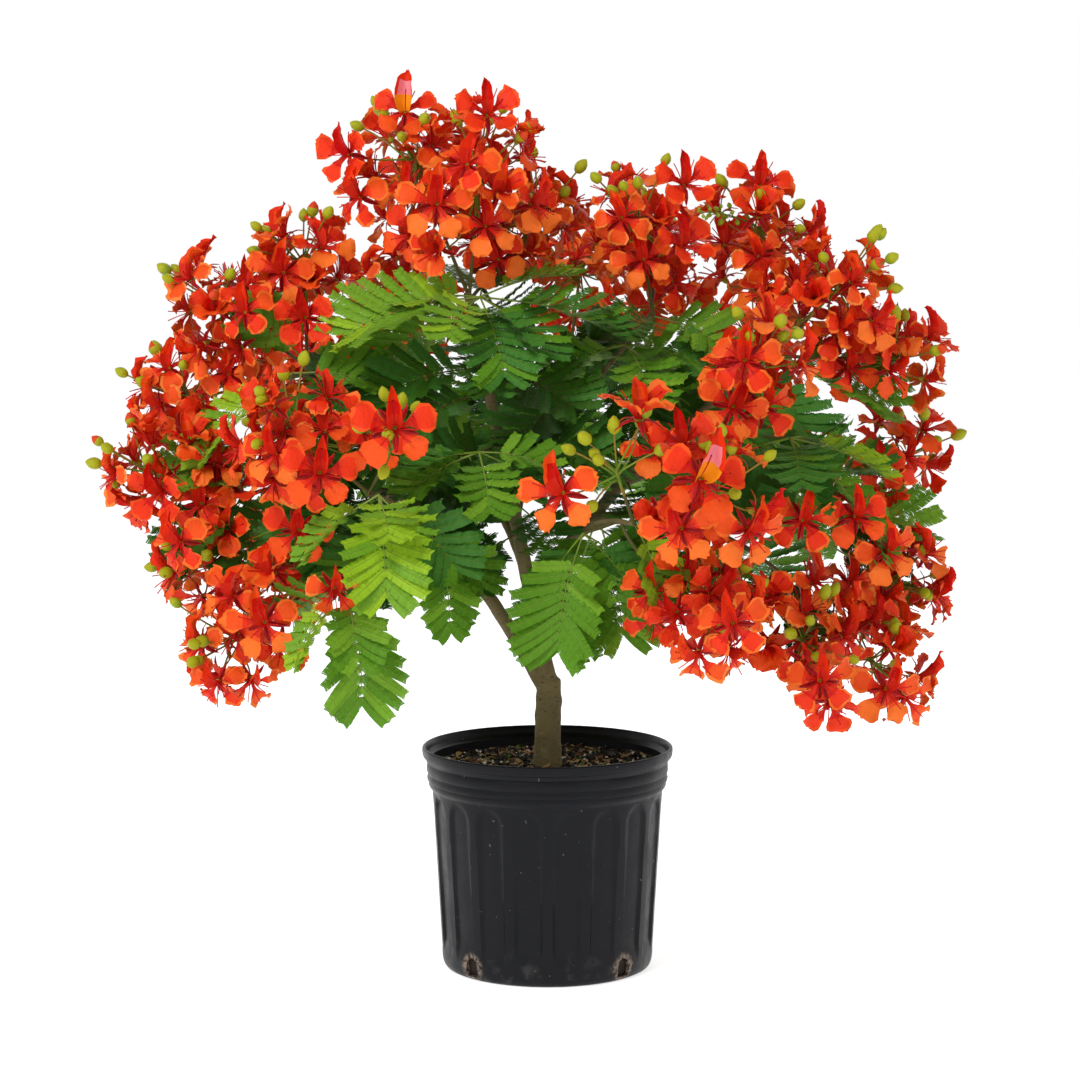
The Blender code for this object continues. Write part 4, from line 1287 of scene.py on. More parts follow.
def make_wood():
    """The trunk and boughs as one grown body with bark relief."""
    mesh = grown_together(swept_wood())
    mesh.update()
    normals = [vertex.normal.copy() for vertex in mesh.vertices]
    for vertex, normal in zip(mesh.vertices, normals):
        vertex.co += normal * bark_relief(vertex.co)
    mesh.materials.append(bark_finish())
    return mesh


show("wood", make_wood(), ["trunk", *BOUGHS])

# %% [markdown]
# ## Where the leaves and the blossom grow
#
# A rosette of leaves, or a truss of blossom, stands on a short stem. Its head lies a given
# way and distance from a point on its bough. The stem's foot may sit a little lower on the
# bough, wherever there was room, so it is looked up: it is the place where the frame's own
# solid comes nearest to the middle of the bough.

# %% Rosettes and trusses
Rosette = namedtuple("Rosette", "bough station bearing pitch stem fronds")
ROSETTES = {
    "leaves_top": Rosette("leader", 1.00, 30, -10, 0.030, (
        (-84, -6, 0.150), (20, -36, 0.115), (82, -6, 0.155), (105, 22, 0.105),
        (-118, -22, 0.140), (165, -8, 0.130))),
    "leaves_front": Rosette("leader", 0.60, -12, 0, 0.104, (
        (10, -28, 0.095), (-78, -20, 0.085), (96, -24, 0.085))),
    "leaves_front_left": Rosette("bough_front_left", 1.00, 12, 5, 0.070, (
        (10, -48, 0.115), (-78, -30, 0.100))),
    "leaves_low_left": Rosette("bough_front_left", 0.45, 22, -5, 0.045, (
        (15, -55, 0.110), (-80, -24, 0.080))),
    "leaves_left_hang": Rosette("bough_left_low", 1.00, 13, -4, 0.070, (
        (40, -70, 0.125), (-66, -46, 0.100))),
    "leaves_low_right": Rosette("bough_front_right", 0.72, -60, -15, 0.040, (
        (-30, -54, 0.130), (112, -42, 0.100))),
    "leaves_right": Rosette("bough_right_front", 1.00, 90, -4, 0.060, (
        (73, -40, 0.165), (84, -12, 0.110), (18, -30, 0.110), (-60, 2, 0.100))),
    "leaves_up_right": Rosette("bough_mid", 0.92, -24, -20, 0.050, (
        (84, -8, 0.110), (18, -24, 0.100), (-150, 6, 0.110))),
    "leaves_left": Rosette("bough_left_high", 1.00, -15, -9, 0.050, (
        (-80, -34, 0.140), (98, 14, 0.090), (172, -10, 0.120))),
    "leaves_back_left": Rosette("bough_back_left", 0.75, 178, -20, 0.040, (
        (-176, -40, 0.130), (-108, -24, 0.130), (140, -20, 0.120))),
    "leaves_back_mid": Rosette("bough_back_mid", 0.80, 170, -30, 0.035, (
        (176, -42, 0.130), (104, -16, 0.125), (-122, -18, 0.125))),
    "leaves_back_right": Rosette("bough_back_right", 0.75, 130, -20, 0.040, (
        (160, -44, 0.130), (80, -26, 0.120), (-138, -30, 0.120))),
}
Truss = namedtuple("Truss", "bough station bearing pitch stem reach flowers buds")
TRUSSES = {
    "blossom_front": Truss("bough_front_right", 1.0, -10, 27, 0.150, 0.068, 2, 3),
    "blossom_front_left_single": Truss("bough_front_left", 1.0, 15, 26, 0.150, 0.050, 1, 3),
    "blossom_front_right": Truss("bough_front_right", 0.90, 40, 16, 0.150, 0.072, 3, 1),
    "blossom_front_low": Truss("bough_front_right", 0.80, 62, -38, 0.150, 0.062, 3, 0),
    "blossom_front_left": Truss("bough_front_left", 1.0, -90, 40, 0.108, 0.079, 4, 2),
    "blossom_front_right_up": Truss("bough_right_front", 1.0, 11, 40, 0.133, 0.064, 3, 1),
    "blossom_top_left": Truss("leader", 1.0, -130, 61, 0.180, 0.080, 4, 1),
    "blossom_top_front": Truss("leader", 1.0, 25, 76, 0.142, 0.080, 4, 1),
    "blossom_top_back": Truss("leader", 1.0, 130, 38, 0.137, 0.070, 3, 1),
    "blossom_upper_left": Truss("bough_left_high", 1.0, -165, 80, 0.120, 0.073, 4, 1),
    "blossom_left_shoulder": Truss("bough_left_high", 1.0, -90, 34, 0.118, 0.073, 3, 2),
    "blossom_left_outer": Truss("bough_left_high", 1.0, -104, -16, 0.160, 0.068, 3, 1),
    "blossom_left_tip": Truss("bough_left_out", 1.0, -88, 12, 0.118, 0.062, 3, 1),
    "blossom_left_low": Truss("bough_left_out", 1.0, -67, -54, 0.095, 0.066, 3, 1),
    "blossom_left_foot": Truss("bough_left_low", 1.0, -90, -34, 0.136, 0.072, 4, 1),
    "blossom_right_low": Truss("bough_right_low", 1.0, 20, -44, 0.106, 0.064, 3, 1),
    "blossom_right_foot": Truss("bough_right_low", 1.0, 98, -44, 0.165, 0.066, 3, 0),
    "blossom_right_outer_low": Truss("bough_right_mid", 1.0, 66, -50, 0.120, 0.070, 3, 1),
    "blossom_right_far": Truss("bough_right_mid", 1.0, 128, 22, 0.140, 0.066, 3, 1),
    "blossom_right_outer": Truss("bough_right_high", 1.0, 94, -2, 0.148, 0.067, 3, 1),
    "blossom_right_shoulder": Truss("bough_right_high", 1.0, 58, 44, 0.110, 0.080, 4, 2),
    "blossom_upper_right": Truss("bough_right_high", 1.0, -170, 68, 0.150, 0.079, 4, 1),
    "blossom_upper_mid": Truss("bough_mid", 1.0, -31, 72, 0.112, 0.078, 3, 1),
    "blossom_centre_back": Truss("bough_mid", 1.0, 176, 28, 0.140, 0.072, 3, 1),
    "blossom_back_left_up": Truss("bough_back_left", 1.0, -170, 52, 0.130, 0.074, 4, 1),
    "blossom_back_left_out": Truss("bough_back_left", 1.0, -112, -2, 0.140, 0.070, 4, 1),
    "blossom_back_mid_up": Truss("bough_back_mid", 1.0, 172, 46, 0.130, 0.076, 4, 1),
    "blossom_back_right_up": Truss("bough_back_right", 1.0, 146, 40, 0.130, 0.074, 4, 1),
    "blossom_back_right_low": Truss("bough_back_right", 1.0, 118, -34, 0.140, 0.070, 4, 1),
    "blossom_back_low": Truss("bough_back_low", 1.0, -128, -30, 0.140, 0.072, 4, 1),
}
STEM_BEND_SHARE = 0.35
STEM_RINGS = 9
STEM_FOOT_RADIUS = 0.0022
STEM_HEAD_RADIUS = 0.0016


def frame_places(name):
    """The corners of one of the frame's solids, as rows of an array."""
    mesh = frame["nodes"][name].data
    places = np.empty(len(mesh.vertices) * 3)
    mesh.vertices.foreach_get("co", places)
    return places.reshape(-1, 3)


def nearest_on(route, places):
    """The point of a route that some place comes nearest to, and that place."""
    best = None
    for start, end in zip(route, route[1:]):
        first = np.array(start)
        run = np.array(end) - first
        share = np.clip((places - first) @ run / (run @ run), 0.0, 1.0)
        feet = first + share[:, None] * run
        away = np.linalg.norm(places - feet, axis=1)
        index = int(away.argmin())
        if best is None or away[index] < best[0]:
            best = (away[index], Vector(feet[index]), Vector(places[index]))
    return best[1], best[2]


def stem_route(name, mass):
    """The route of a stem, from the middle of its bough to its head."""
    limb = limbs[mass.bough]
    seat, _ = place_on(limb.route, mass.station)
    head = seat + toward(mass.bearing, mass.pitch) * mass.stem
    foot, touch = nearest_on(limb.route, frame_places(name))
    direct = head - foot
    tip = limb.route[-1]
    leave = direct if (foot - tip).length < mass.stem * 0.1 else touch - foot
    bend = foot + leave.normalized() * direct.length * STEM_BEND_SHARE
    return bent(foot, bend, head, STEM_RINGS)


stems = {name: stem_route(name, mass) for name, mass in (*ROSETTES.items(), *TRUSSES.items())}
print(f"{len(stems)} stems")

# %% [markdown]
# ## Fronds
#
# A poinciana leaf is twice feathered. A petiole carries a main rib; the rib carries pairs of
# side ribs; each side rib carries some twenty pairs of small oblong leaflets. The rib bends
# over under its own weight, the side ribs sweep forward and hang a little, and they are
# longest in the middle of the leaf. A frond is described by its bearing, its pitch and its
# length. Its tone comes with it, and how far it has turned its face outwards, to the light,
# and how broad it is: some leaves are seen nearly edge on, or have short side ribs.
#
# The plain solid of a frond may have been swung a few degrees to clear its neighbours. Each
# frond here takes the swing whose tip the frame's solid really has.

# %% Frond rule
FROND_PETIOLE_SHARE = 0.26
FROND_DROOP = 26.0
FROND_SWINGS = ((0, 0), (10, 0), (-10, 0), (0, 12), (0, -12), (20, 6), (-20, 6), (32, 0), (-32, 0))
FRAME_PAIRS = 5
PINNA_GAP = 0.0112
PINNA_LENGTH_SHARE = 0.52
PINNA_LONGEST = 0.070
PINNA_SWEEP = 66.0
PINNA_CLOSING = 30.0
PINNA_DROOP = 10.0
PINNA_LEAST = 0.55
Frond = namedtuple("Frond", "root bearing pitch length tone turn breadth")
FROND_TURN = 0.45
Face = namedtuple("Face", "turn breadth")
FACES = {
    ("leaves_top", 2): Face(0.15, 0.85), ("leaves_top", 3): Face(0.0, 0.70),
    ("leaves_right", 0): Face(0.25, 0.50), ("leaves_right", 1): Face(0.20, 0.60),
    ("leaves_right", 2): Face(0.20, 0.45), ("leaves_front_left", 1): Face(0.30, 0.55),
    ("leaves_left", 0): Face(0.30, 0.70), ("leaves_left_hang", 0): Face(0.75, 0.90),
    ("leaves_left_hang", 1): Face(0.40, 0.42), ("leaves_low_left", 0): Face(0.45, 0.68),
}
FACE_FRONT = toward(0.0, 12.0)
FACE_BACK = toward(180.0, 12.0)
FACE_BACK_BEYOND = 0.06


def rib_route(frond, steps):
    """The main rib beyond the petiole, and its heading at every step."""
    run = frond.length * (1.0 - FROND_PETIOLE_SHARE) / steps
    heading = toward(frond.bearing, frond.pitch)
    place = frond.root + heading * frond.length * FROND_PETIOLE_SHARE
    route = [place]
    headings = []
    for index in range(steps):
        heading = toward(frond.bearing, frond.pitch - FROND_DROOP * (index + 0.5) / steps)
        place = place + heading * run
        route.append(place)
        headings.append(heading)
    return route, headings


def framed_frond(name, root, row, tone, face):
    """The frond of a table row, swung the way that the frame's own solid was."""
    places = frame_places(name)
    bearing, pitch, length = row
    best = None
    for swing, rise in FROND_SWINGS:
        frond = Frond(root, bearing + swing, pitch + rise, length, tone, *face)
        tip = rib_route(frond, FRAME_PAIRS)[0][-1]
        miss = np.linalg.norm(places - np.array(tip), axis=1).min()
        if best is None or miss < best[0] - 0.0002:
            best = (miss, frond)
    return best[1]


# %% [markdown]
# ### Leaflets and side ribs
#
# One pair of leaflets is drawn first: two flat oblong blades that touch at their feet and
# part towards their tips. A tree repeats the pair along a side rib, smaller towards both ends,
# tips each pair over a little at random, and bends the row down. Six row lengths are grown,
# and every side rib of every frond takes the one nearest to its own length.

# %% Side ribs
LEAFLET_LENGTH = 0.0072
LEAFLET_WIDTH = 0.0019
LEAFLET_GAP = 0.0017
LEAFLET_TIP_SHARE = 0.92
LEAFLET_SWEEP = 70.0
LEAFLET_RAISE = 0.10
LEAFLET_TIP_OVER = 0.16
ROW_LENGTHS = (0.020, 0.030, 0.040, 0.050, 0.060, 0.070)
ROW_SAG = 0.15
ROW_START = (0.0, 0.0, 0.0015)
ROW_SWELL = 0.20
ROW_LEAST = 0.82


def leaflet_pair():
    """Two blades either side of +Z, with +Y their upper side."""
    shape = bmesh.new()
    sweep = math.radians(LEAFLET_SWEEP)
    for way in (-1.0, 1.0):
        out = Vector((math.sin(sweep) * way, LEAFLET_RAISE, math.cos(sweep))).normalized()
        half = Vector((-math.cos(sweep) * way, 0.0, math.sin(sweep))) * LEAFLET_WIDTH / 2.0
        tip = out * LEAFLET_LENGTH
        shape.faces.new([shape.verts.new(corner) for corner in (
            -half, half, tip + half * LEAFLET_TIP_SHARE, tip - half * LEAFLET_TIP_SHARE)])
    return mesh_of(shape, "leaflet_pair")


def make_row_tree():
    """Pairs of leaflets repeated along a side rib that hangs towards its tip."""
    tree, sizes = new_tree("leaflet_row", {"Length": "Float", "Pairs": "Int", "Sag": "Float"})
    gap = worked(tree, "DIVIDE", sizes["Length"], sizes["Pairs"])
    offset = step(tree, "ShaderNodeCombineXYZ", {"Z": gap}).outputs[0]
    line = step(tree, "GeometryNodeMeshLine",
                {"Count": sizes["Pairs"], "Start Location": ROW_START, "Offset": offset},
                mode="OFFSET").outputs[0]
    number = step(tree, "GeometryNodeInputIndex", {}).outputs[0]
    share = worked(tree, "DIVIDE", number, sizes["Pairs"])
    swell = worked(tree, "SINE", worked(tree, "MULTIPLY", share, math.pi))
    size = worked(tree, "MULTIPLY_ADD", swell, ROW_SWELL, ROW_LEAST)
    tip_over = step(tree, "FunctionNodeRandomValue",
                    {0: (0.0, 0.0, -LEAFLET_TIP_OVER), 1: (0.0, 0.0, LEAFLET_TIP_OVER)},
                    data_type="FLOAT_VECTOR").outputs[0]
    row = step(tree, "GeometryNodeInstanceOnPoints",
               {"Points": line, "Instance": sizes["Geometry"], "Rotation": tip_over,
                "Scale": size}).outputs[0]
    row = step(tree, "GeometryNodeRealizeInstances", {"Geometry": row}).outputs[0]
    place = step(tree, "GeometryNodeInputPosition", {}).outputs[0]
    along = step(tree, "ShaderNodeSeparateXYZ", {0: place}).outputs[2]
    far = worked(tree, "DIVIDE", along, sizes["Length"])
    sag = worked(tree, "MULTIPLY", worked(tree, "MULTIPLY", far, far), sizes["Sag"])
    drop = worked(tree, "MULTIPLY", sag, -1.0)
    down = step(tree, "ShaderNodeCombineXYZ", {"Y": drop}).outputs[0]
    row = step(tree, "GeometryNodeSetPosition", {"Geometry": row, "Offset": down}).outputs[0]
    return end_tree(tree, row)


row_tree = make_row_tree()
leaflet_rows = [grown("leaflet_row", leaflet_pair(), row_tree,
                      {"Length": length, "Pairs": round(length / LEAFLET_GAP),
                       "Sag": length * ROW_SAG})
                for length in ROW_LENGTHS]
row_shapes = shape_set("leaflet_row", leaflet_rows)
print(f"longest row: {triangles_of(leaflet_rows[-1])} triangles")

# %% [markdown]
# ### Tones and extra fronds
#
# The young fronds are nearly yellow and the outer ones a fresh green. The fronds inside the crown
# take a deep blue green: partly the older leaves' own darker green and partly painted shade, the
# shade that falls inside the crown, with the fresh green as its lit counterpart. So every frond
# gets its own tone: the ones in the table by what the plant shows, the rest by how deep they lie.
# A frame's rosette holds only its leading fronds. The plant's rosettes are fuller, so more fronds
# are grown between them by the same rule, from a fixed seed, and the last table adds those that
# grow straight from the boughs and close the inside of the crown, most of them in the deep tone
# of painted shade.

# %% Grow the fronds
# The deep and blue tones in this table are partly painted shade, for fronds that lie in the crown's
# shade.
TONES = {
    "leaves_top": ("fresh", "blue", "blue", "young", "mid", "deep"),
    "leaves_front": ("mid", "mid", "blue"),
    "leaves_front_left": ("young", "fresh"),
    "leaves_low_left": ("mid", "mid"),
    "leaves_left_hang": ("mid", "fresh"),
    "leaves_low_right": ("mid", "blue"),
    "leaves_right": ("mid", "young", "blue", "blue"),
    "leaves_up_right": ("blue", "mid", "deep"),
    "leaves_left": ("young", "mid", "deep"),
}
BACK_TONES = ("mid", "fresh", "blue", "deep")
Extra = namedtuple("Extra", "count low high shortest longest")
EXTRAS = {
    "leaves_top": Extra(4, -40, 20, 0.085, 0.120),
    "leaves_front": Extra(3, -50, 10, 0.070, 0.090),
    "leaves_front_left": Extra(2, -55, 0, 0.065, 0.090),
    "leaves_low_left": Extra(2, -50, 10, 0.060, 0.085),
    "leaves_left_hang": Extra(2, -60, -10, 0.070, 0.095),
    "leaves_low_right": Extra(2, -60, 0, 0.070, 0.095),
    "leaves_right": Extra(3, -40, 10, 0.075, 0.105),
    "leaves_up_right": Extra(3, -40, 15, 0.075, 0.100),
    "leaves_left": Extra(2, -45, 0, 0.080, 0.105),
    "leaves_back_left": Extra(4, -50, 10, 0.085, 0.120),
    "leaves_back_mid": Extra(4, -50, 10, 0.085, 0.120),
    "leaves_back_right": Extra(4, -50, 10, 0.085, 0.120),
}
Inner = namedtuple("Inner", "bough station bearing pitch length tone")
# Most inner fronds take the deep tone: painted shade for the inside of the crown, as well as the older
# leaves' darker green.
INNERS = {
    "leaves_top": (
        ("leader", 0.80, 60, -10, 0.120, "deep"),
        ("leader", 0.74, -60, -14, 0.120, "deep"),
        ("leader", 0.80, -80, -5, 0.110, "deep"),
        ("leader", 0.88, 10, -20, 0.110, "deep"),
    ),
    "leaves_front": (
        ("leader", 0.66, 20, -30, 0.110, "deep"),
        ("leader", 0.52, -70, -24, 0.115, "deep"),
        ("leader", 0.46, 40, -24, 0.105, "blue"), ("leader", 0.60, 60, 5, 0.120, "deep"),
        ("leader", 0.56, -60, 10, 0.115, "deep"),
        ("leader", 0.38, -50, -20, 0.110, "deep"),
        ("bough_right_high", 0.40, 10, -20, 0.110, "deep"),
        ("bough_right_high", 0.50, -40, 0, 0.110, "blue"),
    ),
    "leaves_left": (
        ("bough_left_high", 0.84, 30, -26, 0.120, "deep"),
        ("bough_left_high", 0.70, -60, -26, 0.125, "deep"),
        ("bough_left_high", 0.62, 60, -18, 0.110, "deep"),
        ("bough_left_high", 1.00, -60, 45, 0.090, "mid"),
        ("bough_left_high", 1.00, 40, -30, 0.115, "deep"),
        ("bough_left_high", 0.84, -30, -40, 0.115, "deep"),
    ),
    "leaves_left_hang": (
        ("bough_left_out", 0.60, 10, -44, 0.110, "blue"),
        ("bough_left_out", 0.80, -40, -40, 0.110, "deep"),
        ("bough_left_out", 0.80, -85, 15, 0.120, "fresh"),
        ("bough_left_out", 1.00, -60, -30, 0.110, "deep"),
        ("bough_left_out", 0.40, 20, -20, 0.110, "deep"),
    ),
    "leaves_low_left": (
        ("bough_front_left", 0.55, -60, -30, 0.110, "blue"),
        ("bough_front_left", 0.30, -50, -20, 0.115, "deep"),
    ),
    "leaves_front_left": (
        ("bough_front_left", 0.80, 60, -30, 0.105, "blue"),
        ("bough_left_high", 0.50, 30, -30, 0.115, "deep"),
    ),
    "leaves_up_right": (
        ("bough_mid", 0.70, 70, -30, 0.115, "deep"),
        ("bough_mid", 0.55, -50, -18, 0.115, "deep"),
        ("bough_right_high", 0.75, 30, -30, 0.125, "deep"),
        ("bough_mid", 1.00, 60, -12, 0.100, "mid"),
        ("bough_mid", 1.00, -20, 0, 0.100, "deep"),
        ("bough_mid", 0.40, 80, -10, 0.120, "deep"),
    ),
    "leaves_right": (
        ("bough_right_high", 0.62, 100, -34, 0.125, "deep"),
        ("bough_right_high", 0.90, 60, -40, 0.115, "blue"),
        ("bough_right_front", 0.70, -30, -34, 0.100, "deep"),
        ("bough_right_high", 1.00, 95, -14, 0.135, "mid"),
        ("bough_right_mid", 1.00, 100, -5, 0.110, "mid"),
        ("bough_right_mid", 0.80, 80, 20, 0.100, "blue"),
        ("bough_right_mid", 1.00, 80, -60, 0.130, "deep"),
        ("bough_right_high", 0.70, -20, -10, 0.110, "deep"),
        ("bough_right_mid", 0.70, 120, -30, 0.120, "mid"),
        ("bough_right_low", 0.70, 130, -20, 0.110, "blue"),
    ),
    "leaves_low_right": (
        ("bough_front_right", 0.45, 80, -34, 0.100, "blue"),
        ("bough_right_low", 0.60, 10, -44, 0.100, "mid"),
        ("bough_front_right", 0.42, -30, -52, 0.136, "mid"),
        ("bough_front_right", 1.00, 64, -58, 0.075, "young"),
        ("bough_front_right", 0.52, 24, -54, 0.125, "mid"),
        ("bough_right_low", 0.95, 80, -60, 0.105, "deep"),
        ("bough_right_low", 0.90, -30, -30, 0.095, "blue"),
    ),
    "leaves_back_left": (
        ("bough_back_left", 0.50, -150, -20, 0.130, "deep"),
        ("bough_back_low", 0.60, -160, -34, 0.120, "mid"),
        ("bough_back_left", 0.90, -60, 10, 0.120, "mid"),
        ("bough_back_low", 0.90, -80, 0, 0.120, "deep"),
        ("bough_back_left", 0.60, -90, -40, 0.120, "mid"),
        ("bough_back_low", 0.70, 150, -30, 0.120, "fresh"),
        ("bough_back_left", 0.40, -80, 45, 0.130, "mid"),
    ),
    "leaves_back_mid": (
        ("bough_back_mid", 0.50, 160, -20, 0.130, "deep"),
        ("bough_back_mid", 0.80, 80, 20, 0.120, "mid"),
        ("bough_back_mid", 0.80, -80, 20, 0.120, "deep"),
        ("bough_back_mid", 0.55, 120, -45, 0.120, "mid"),
        ("bough_back_mid", 0.70, -120, -45, 0.120, "blue"),
        ("bough_back_mid", 0.36, 70, 48, 0.130, "deep"),
    ),
    "leaves_back_right": (
        ("bough_back_right", 0.45, 170, -24, 0.125, "mid"),
        ("bough_back_right", 0.90, 60, 10, 0.120, "mid"),
        ("bough_back_right", 0.70, 110, 20, 0.120, "deep"),
        ("bough_back_right", 0.60, 90, -40, 0.120, "mid"),
        ("bough_back_right", 0.85, 140, -50, 0.120, "fresh"),
        ("bough_back_right", 0.36, 100, 38, 0.130, "mid"),
        ("bough_back_right", 0.55, 60, 55, 0.120, "fresh"),
    ),
}
EXTRA_TURN = 137.508
EXTRA_TURN_SPREAD = 20.0
EXTRA_FACE = (0.1, 0.6)
INNER_FACE = (0.4, 0.8)
REACH_RANGE = (0.92, 1.03)
SWEEP_SPREAD = 5.0
DROOP_SPREAD = 6.0
TILT_SPREAD = 0.15
RIB_FOOT = 0.00125
RIB_TIP = 0.00045
SIDE_RIB_FOOT = 0.00042
SIDE_RIB_TIP = 0.00022
OTHER_TONE = 0.25
NEAR_TONE = {"young": "fresh", "fresh": "young", "mid": "fresh", "blue": "mid", "deep": "blue"}
# Ribs of deep and blue fronds take the darker twig and stalk finishes: the same painted shade, carried
# to the ribs.
RIB_FINISH = {"young": "rib", "fresh": "rib", "mid": "rib", "blue": "stalk", "deep": "twig"}


def rosette_fronds(name):
    """Every frond of one rosette: the table's own, the extra ones and the inner ones."""
    rosette = ROSETTES[name]
    head = stems[name][-1]
    chance = random.Random(name)
    tones = TONES.get(name, BACK_TONES)
    fronds = [framed_frond(name, head, row, tones[index % len(tones)],
                           FACES.get((name, index), Face(FROND_TURN, 1.0)))
              for index, row in enumerate(rosette.fronds)]
    extra = EXTRAS[name]
    bearing = chance.uniform(0.0, 360.0)
    for _ in range(extra.count):
        bearing += EXTRA_TURN + chance.uniform(-EXTRA_TURN_SPREAD, EXTRA_TURN_SPREAD)
        fronds.append(Frond(head, bearing, chance.uniform(extra.low, extra.high),
                            chance.uniform(extra.shortest, extra.longest),
                            chance.choice(tones), chance.uniform(*EXTRA_FACE), 1.0))
    for inner in map(Inner._make, INNERS.get(name, ())):
        root, _ = place_on(limbs[inner.bough].route, inner.station)
        fronds.append(Frond(root, inner.bearing, inner.pitch, inner.length, inner.tone,
                            chance.uniform(*INNER_FACE), 1.0))
    return fronds


def frond_side(frond, heading):
    """The way to one side of a frond: level, or turned so that the frond faces outwards."""
    level = toward(frond.bearing + 90.0, 0.0)
    face = FACE_BACK if frond.root.y > FACE_BACK_BEYOND else FACE_FRONT
    turned_side = heading.cross(face)
    if turned_side.length < NEARLY_UPRIGHT:
        return level
    turned_side.normalize()
    if turned_side.dot(level) < 0.0:
        turned_side = -turned_side
    return (level * (1.0 - frond.turn) + turned_side * frond.turn).normalized()


def grow_frond(frond, lines, points, chance):
    """The ribs of a frond as lines, and its rows of leaflets as points."""
    pairs = max(4, round(frond.length * (1.0 - FROND_PETIOLE_SHARE) / PINNA_GAP))
    route, headings = rib_route(frond, pairs)
    longest = min(PINNA_LONGEST, frond.length * PINNA_LENGTH_SHARE) * frond.breadth
    lines.add([frond.root, *route], RIB_FOOT, RIB_TIP, RIB_FINISH[frond.tone])
    droop = math.radians(PINNA_DROOP)
    for index, heading in enumerate(headings):
        side = frond_side(frond, heading)
        upper = side.cross(heading).normalized()
        share = (index + 0.5) / pairs
        length = longest * (PINNA_LEAST + (1.0 - PINNA_LEAST) * math.sin(math.pi * share))
        for way in (-1.0, 1.0):
            sweep = PINNA_SWEEP - PINNA_CLOSING * share
            sweep = math.radians(sweep + chance.uniform(-SWEEP_SPREAD, SWEEP_SPREAD))
            out = heading * math.cos(sweep) + side * way * math.sin(sweep)
            dip = droop + math.radians(chance.uniform(-DROOP_SPREAD, DROOP_SPREAD))
            out = (out * math.cos(dip) - upper * math.sin(dip)).normalized()
            reach = length * chance.uniform(*REACH_RANGE)
            row = min(range(len(ROW_LENGTHS)), key=lambda number: abs(ROW_LENGTHS[number] - reach))
            upward = (upper + side * chance.uniform(-TILT_SPREAD, TILT_SPREAD)).normalized()
            foot = route[index] + heading * (route[index + 1] - route[index]).length * 0.5
            tone = frond.tone if chance.random() > OTHER_TONE else NEAR_TONE[frond.tone]
            points.add(foot, out, upward, reach / ROW_LENGTHS[row], row, FINISH_NUMBER["leaf_" + tone])
            middle = foot + out * reach * 0.5
            above = (upward - out * upward.dot(out)).normalized()
            tip = foot + out * reach - above * reach * ROW_SAG
            lines.add(bent(foot, middle, tip, 4), SIDE_RIB_FOOT, SIDE_RIB_TIP,
                      RIB_FINISH[frond.tone])


LEAF_PIECES = {
    "leaflets_front": ("leaves_front", "leaves_front_left", "leaves_low_left", "leaves_left_hang",
                       "leaves_low_right"),
    "leaflets_upper": ("leaves_top", "leaves_left", "leaves_up_right", "leaves_right"),
    "leaflets_back": ("leaves_back_left", "leaves_back_mid", "leaves_back_right"),
}
leaf_lines = Lines()
frond_count = 0
for piece_name, rosette_names in LEAF_PIECES.items():
    row_points = Points()
    for rosette_name in rosette_names:
        leaf_lines.add(stems[rosette_name], STEM_FOOT_RADIUS, STEM_HEAD_RADIUS, "twig")
        frond_chance = random.Random(rosette_name)
        for frond in rosette_fronds(rosette_name):
            grow_frond(frond, leaf_lines, row_points, frond_chance)
            frond_count += 1
    leaflets = grown(piece_name, row_points.mesh(), placing_tree, {"Shapes": row_shapes})
    show(piece_name, leaflets, rosette_names, smooth=False)
show("leaf_ribs", grown("leaf_ribs", leaf_lines.mesh(), sweep_tree, {"Corners": 3}),
     list(ROSETTES))
print(f"{frond_count} fronds")

# %% [markdown]
# ## The flower
#
# A poinciana flower has five petals with narrow claws and broad crinkled blades. Four spread
# like spoons; the fifth, the standard, stands upright, narrow and folded, and is the deepest
# red; now and then it is mottled pink with a yellow throat. Between the claws lie five crimson
# sepals with orange backs, and ten red stamens curve up out of the middle. A petal is one grid
# of points: each row's width follows the claw and then the spoon-shaped blade, and the row's
# lift follows a bend from its foot to its tip. Pleats and a wavy margin crinkle it. Faces are
# dealt their finish by where they lie on the grid: claw, deep heart, blade or the paler margin.
#
# The template is one unit in radius, faces +Z and has its standard petal at +Y.

# %% Petals
PETAL_ROWS = 11
PETAL_ACROSS = (-1.0, -0.78, -0.42, 0.0, 0.42, 0.78, 1.0)
CLAW_SHARE = 0.36
CLAW_HALF_WIDTH = 0.050
BLADE_WIDEST = 0.74
BLADE_ROUND = 0.29
PLEAT = 0.014
HEART_SHARE = 0.52
SPEAR_TIP = 0.66
PETAL_FOOT = 0.03
PETAL_TWIST = 0.30
PETAL_WAVES = (1.8, 3.0)
SPEAR_LEAST = 0.12
SPEAR_POINT = 0.8
BLADE_SPREAD = 0.85
CRINKLE = 0.075
RAGGED = 0.07
SCALLOP = 0.028
TIP_ROUND = 0.05
FULL_TURN = 6.28
DEEPER = {"petal_scarlet": "petal_crimson", "petal_vermilion": "petal_scarlet",
          "petal_orange": "petal_vermilion"}
Petal = namedtuple("Petal", "angle length half_width foot_lift tip_lift fold spear "
                            "claw blade margin")


def blade_width(along, half_width, spear):
    """Half a petal's width at a share of its length: a thin claw, then a spoon or a spear."""
    if spear:
        blade = math.sin(math.pi * min(1.0, SPEAR_LEAST + 0.90 * along)) ** SPEAR_POINT
        return max(half_width * blade, CLAW_HALF_WIDTH * 0.5)
    spread = smooth_share(along, CLAW_SHARE - 0.10, BLADE_WIDEST) ** BLADE_SPREAD
    over = max(0.0, along - BLADE_WIDEST) / BLADE_ROUND
    claw = CLAW_HALF_WIDTH * (0.9 + 0.4 * along)
    return (claw + (half_width - claw) * spread) * math.sqrt(1.0 - over * over)


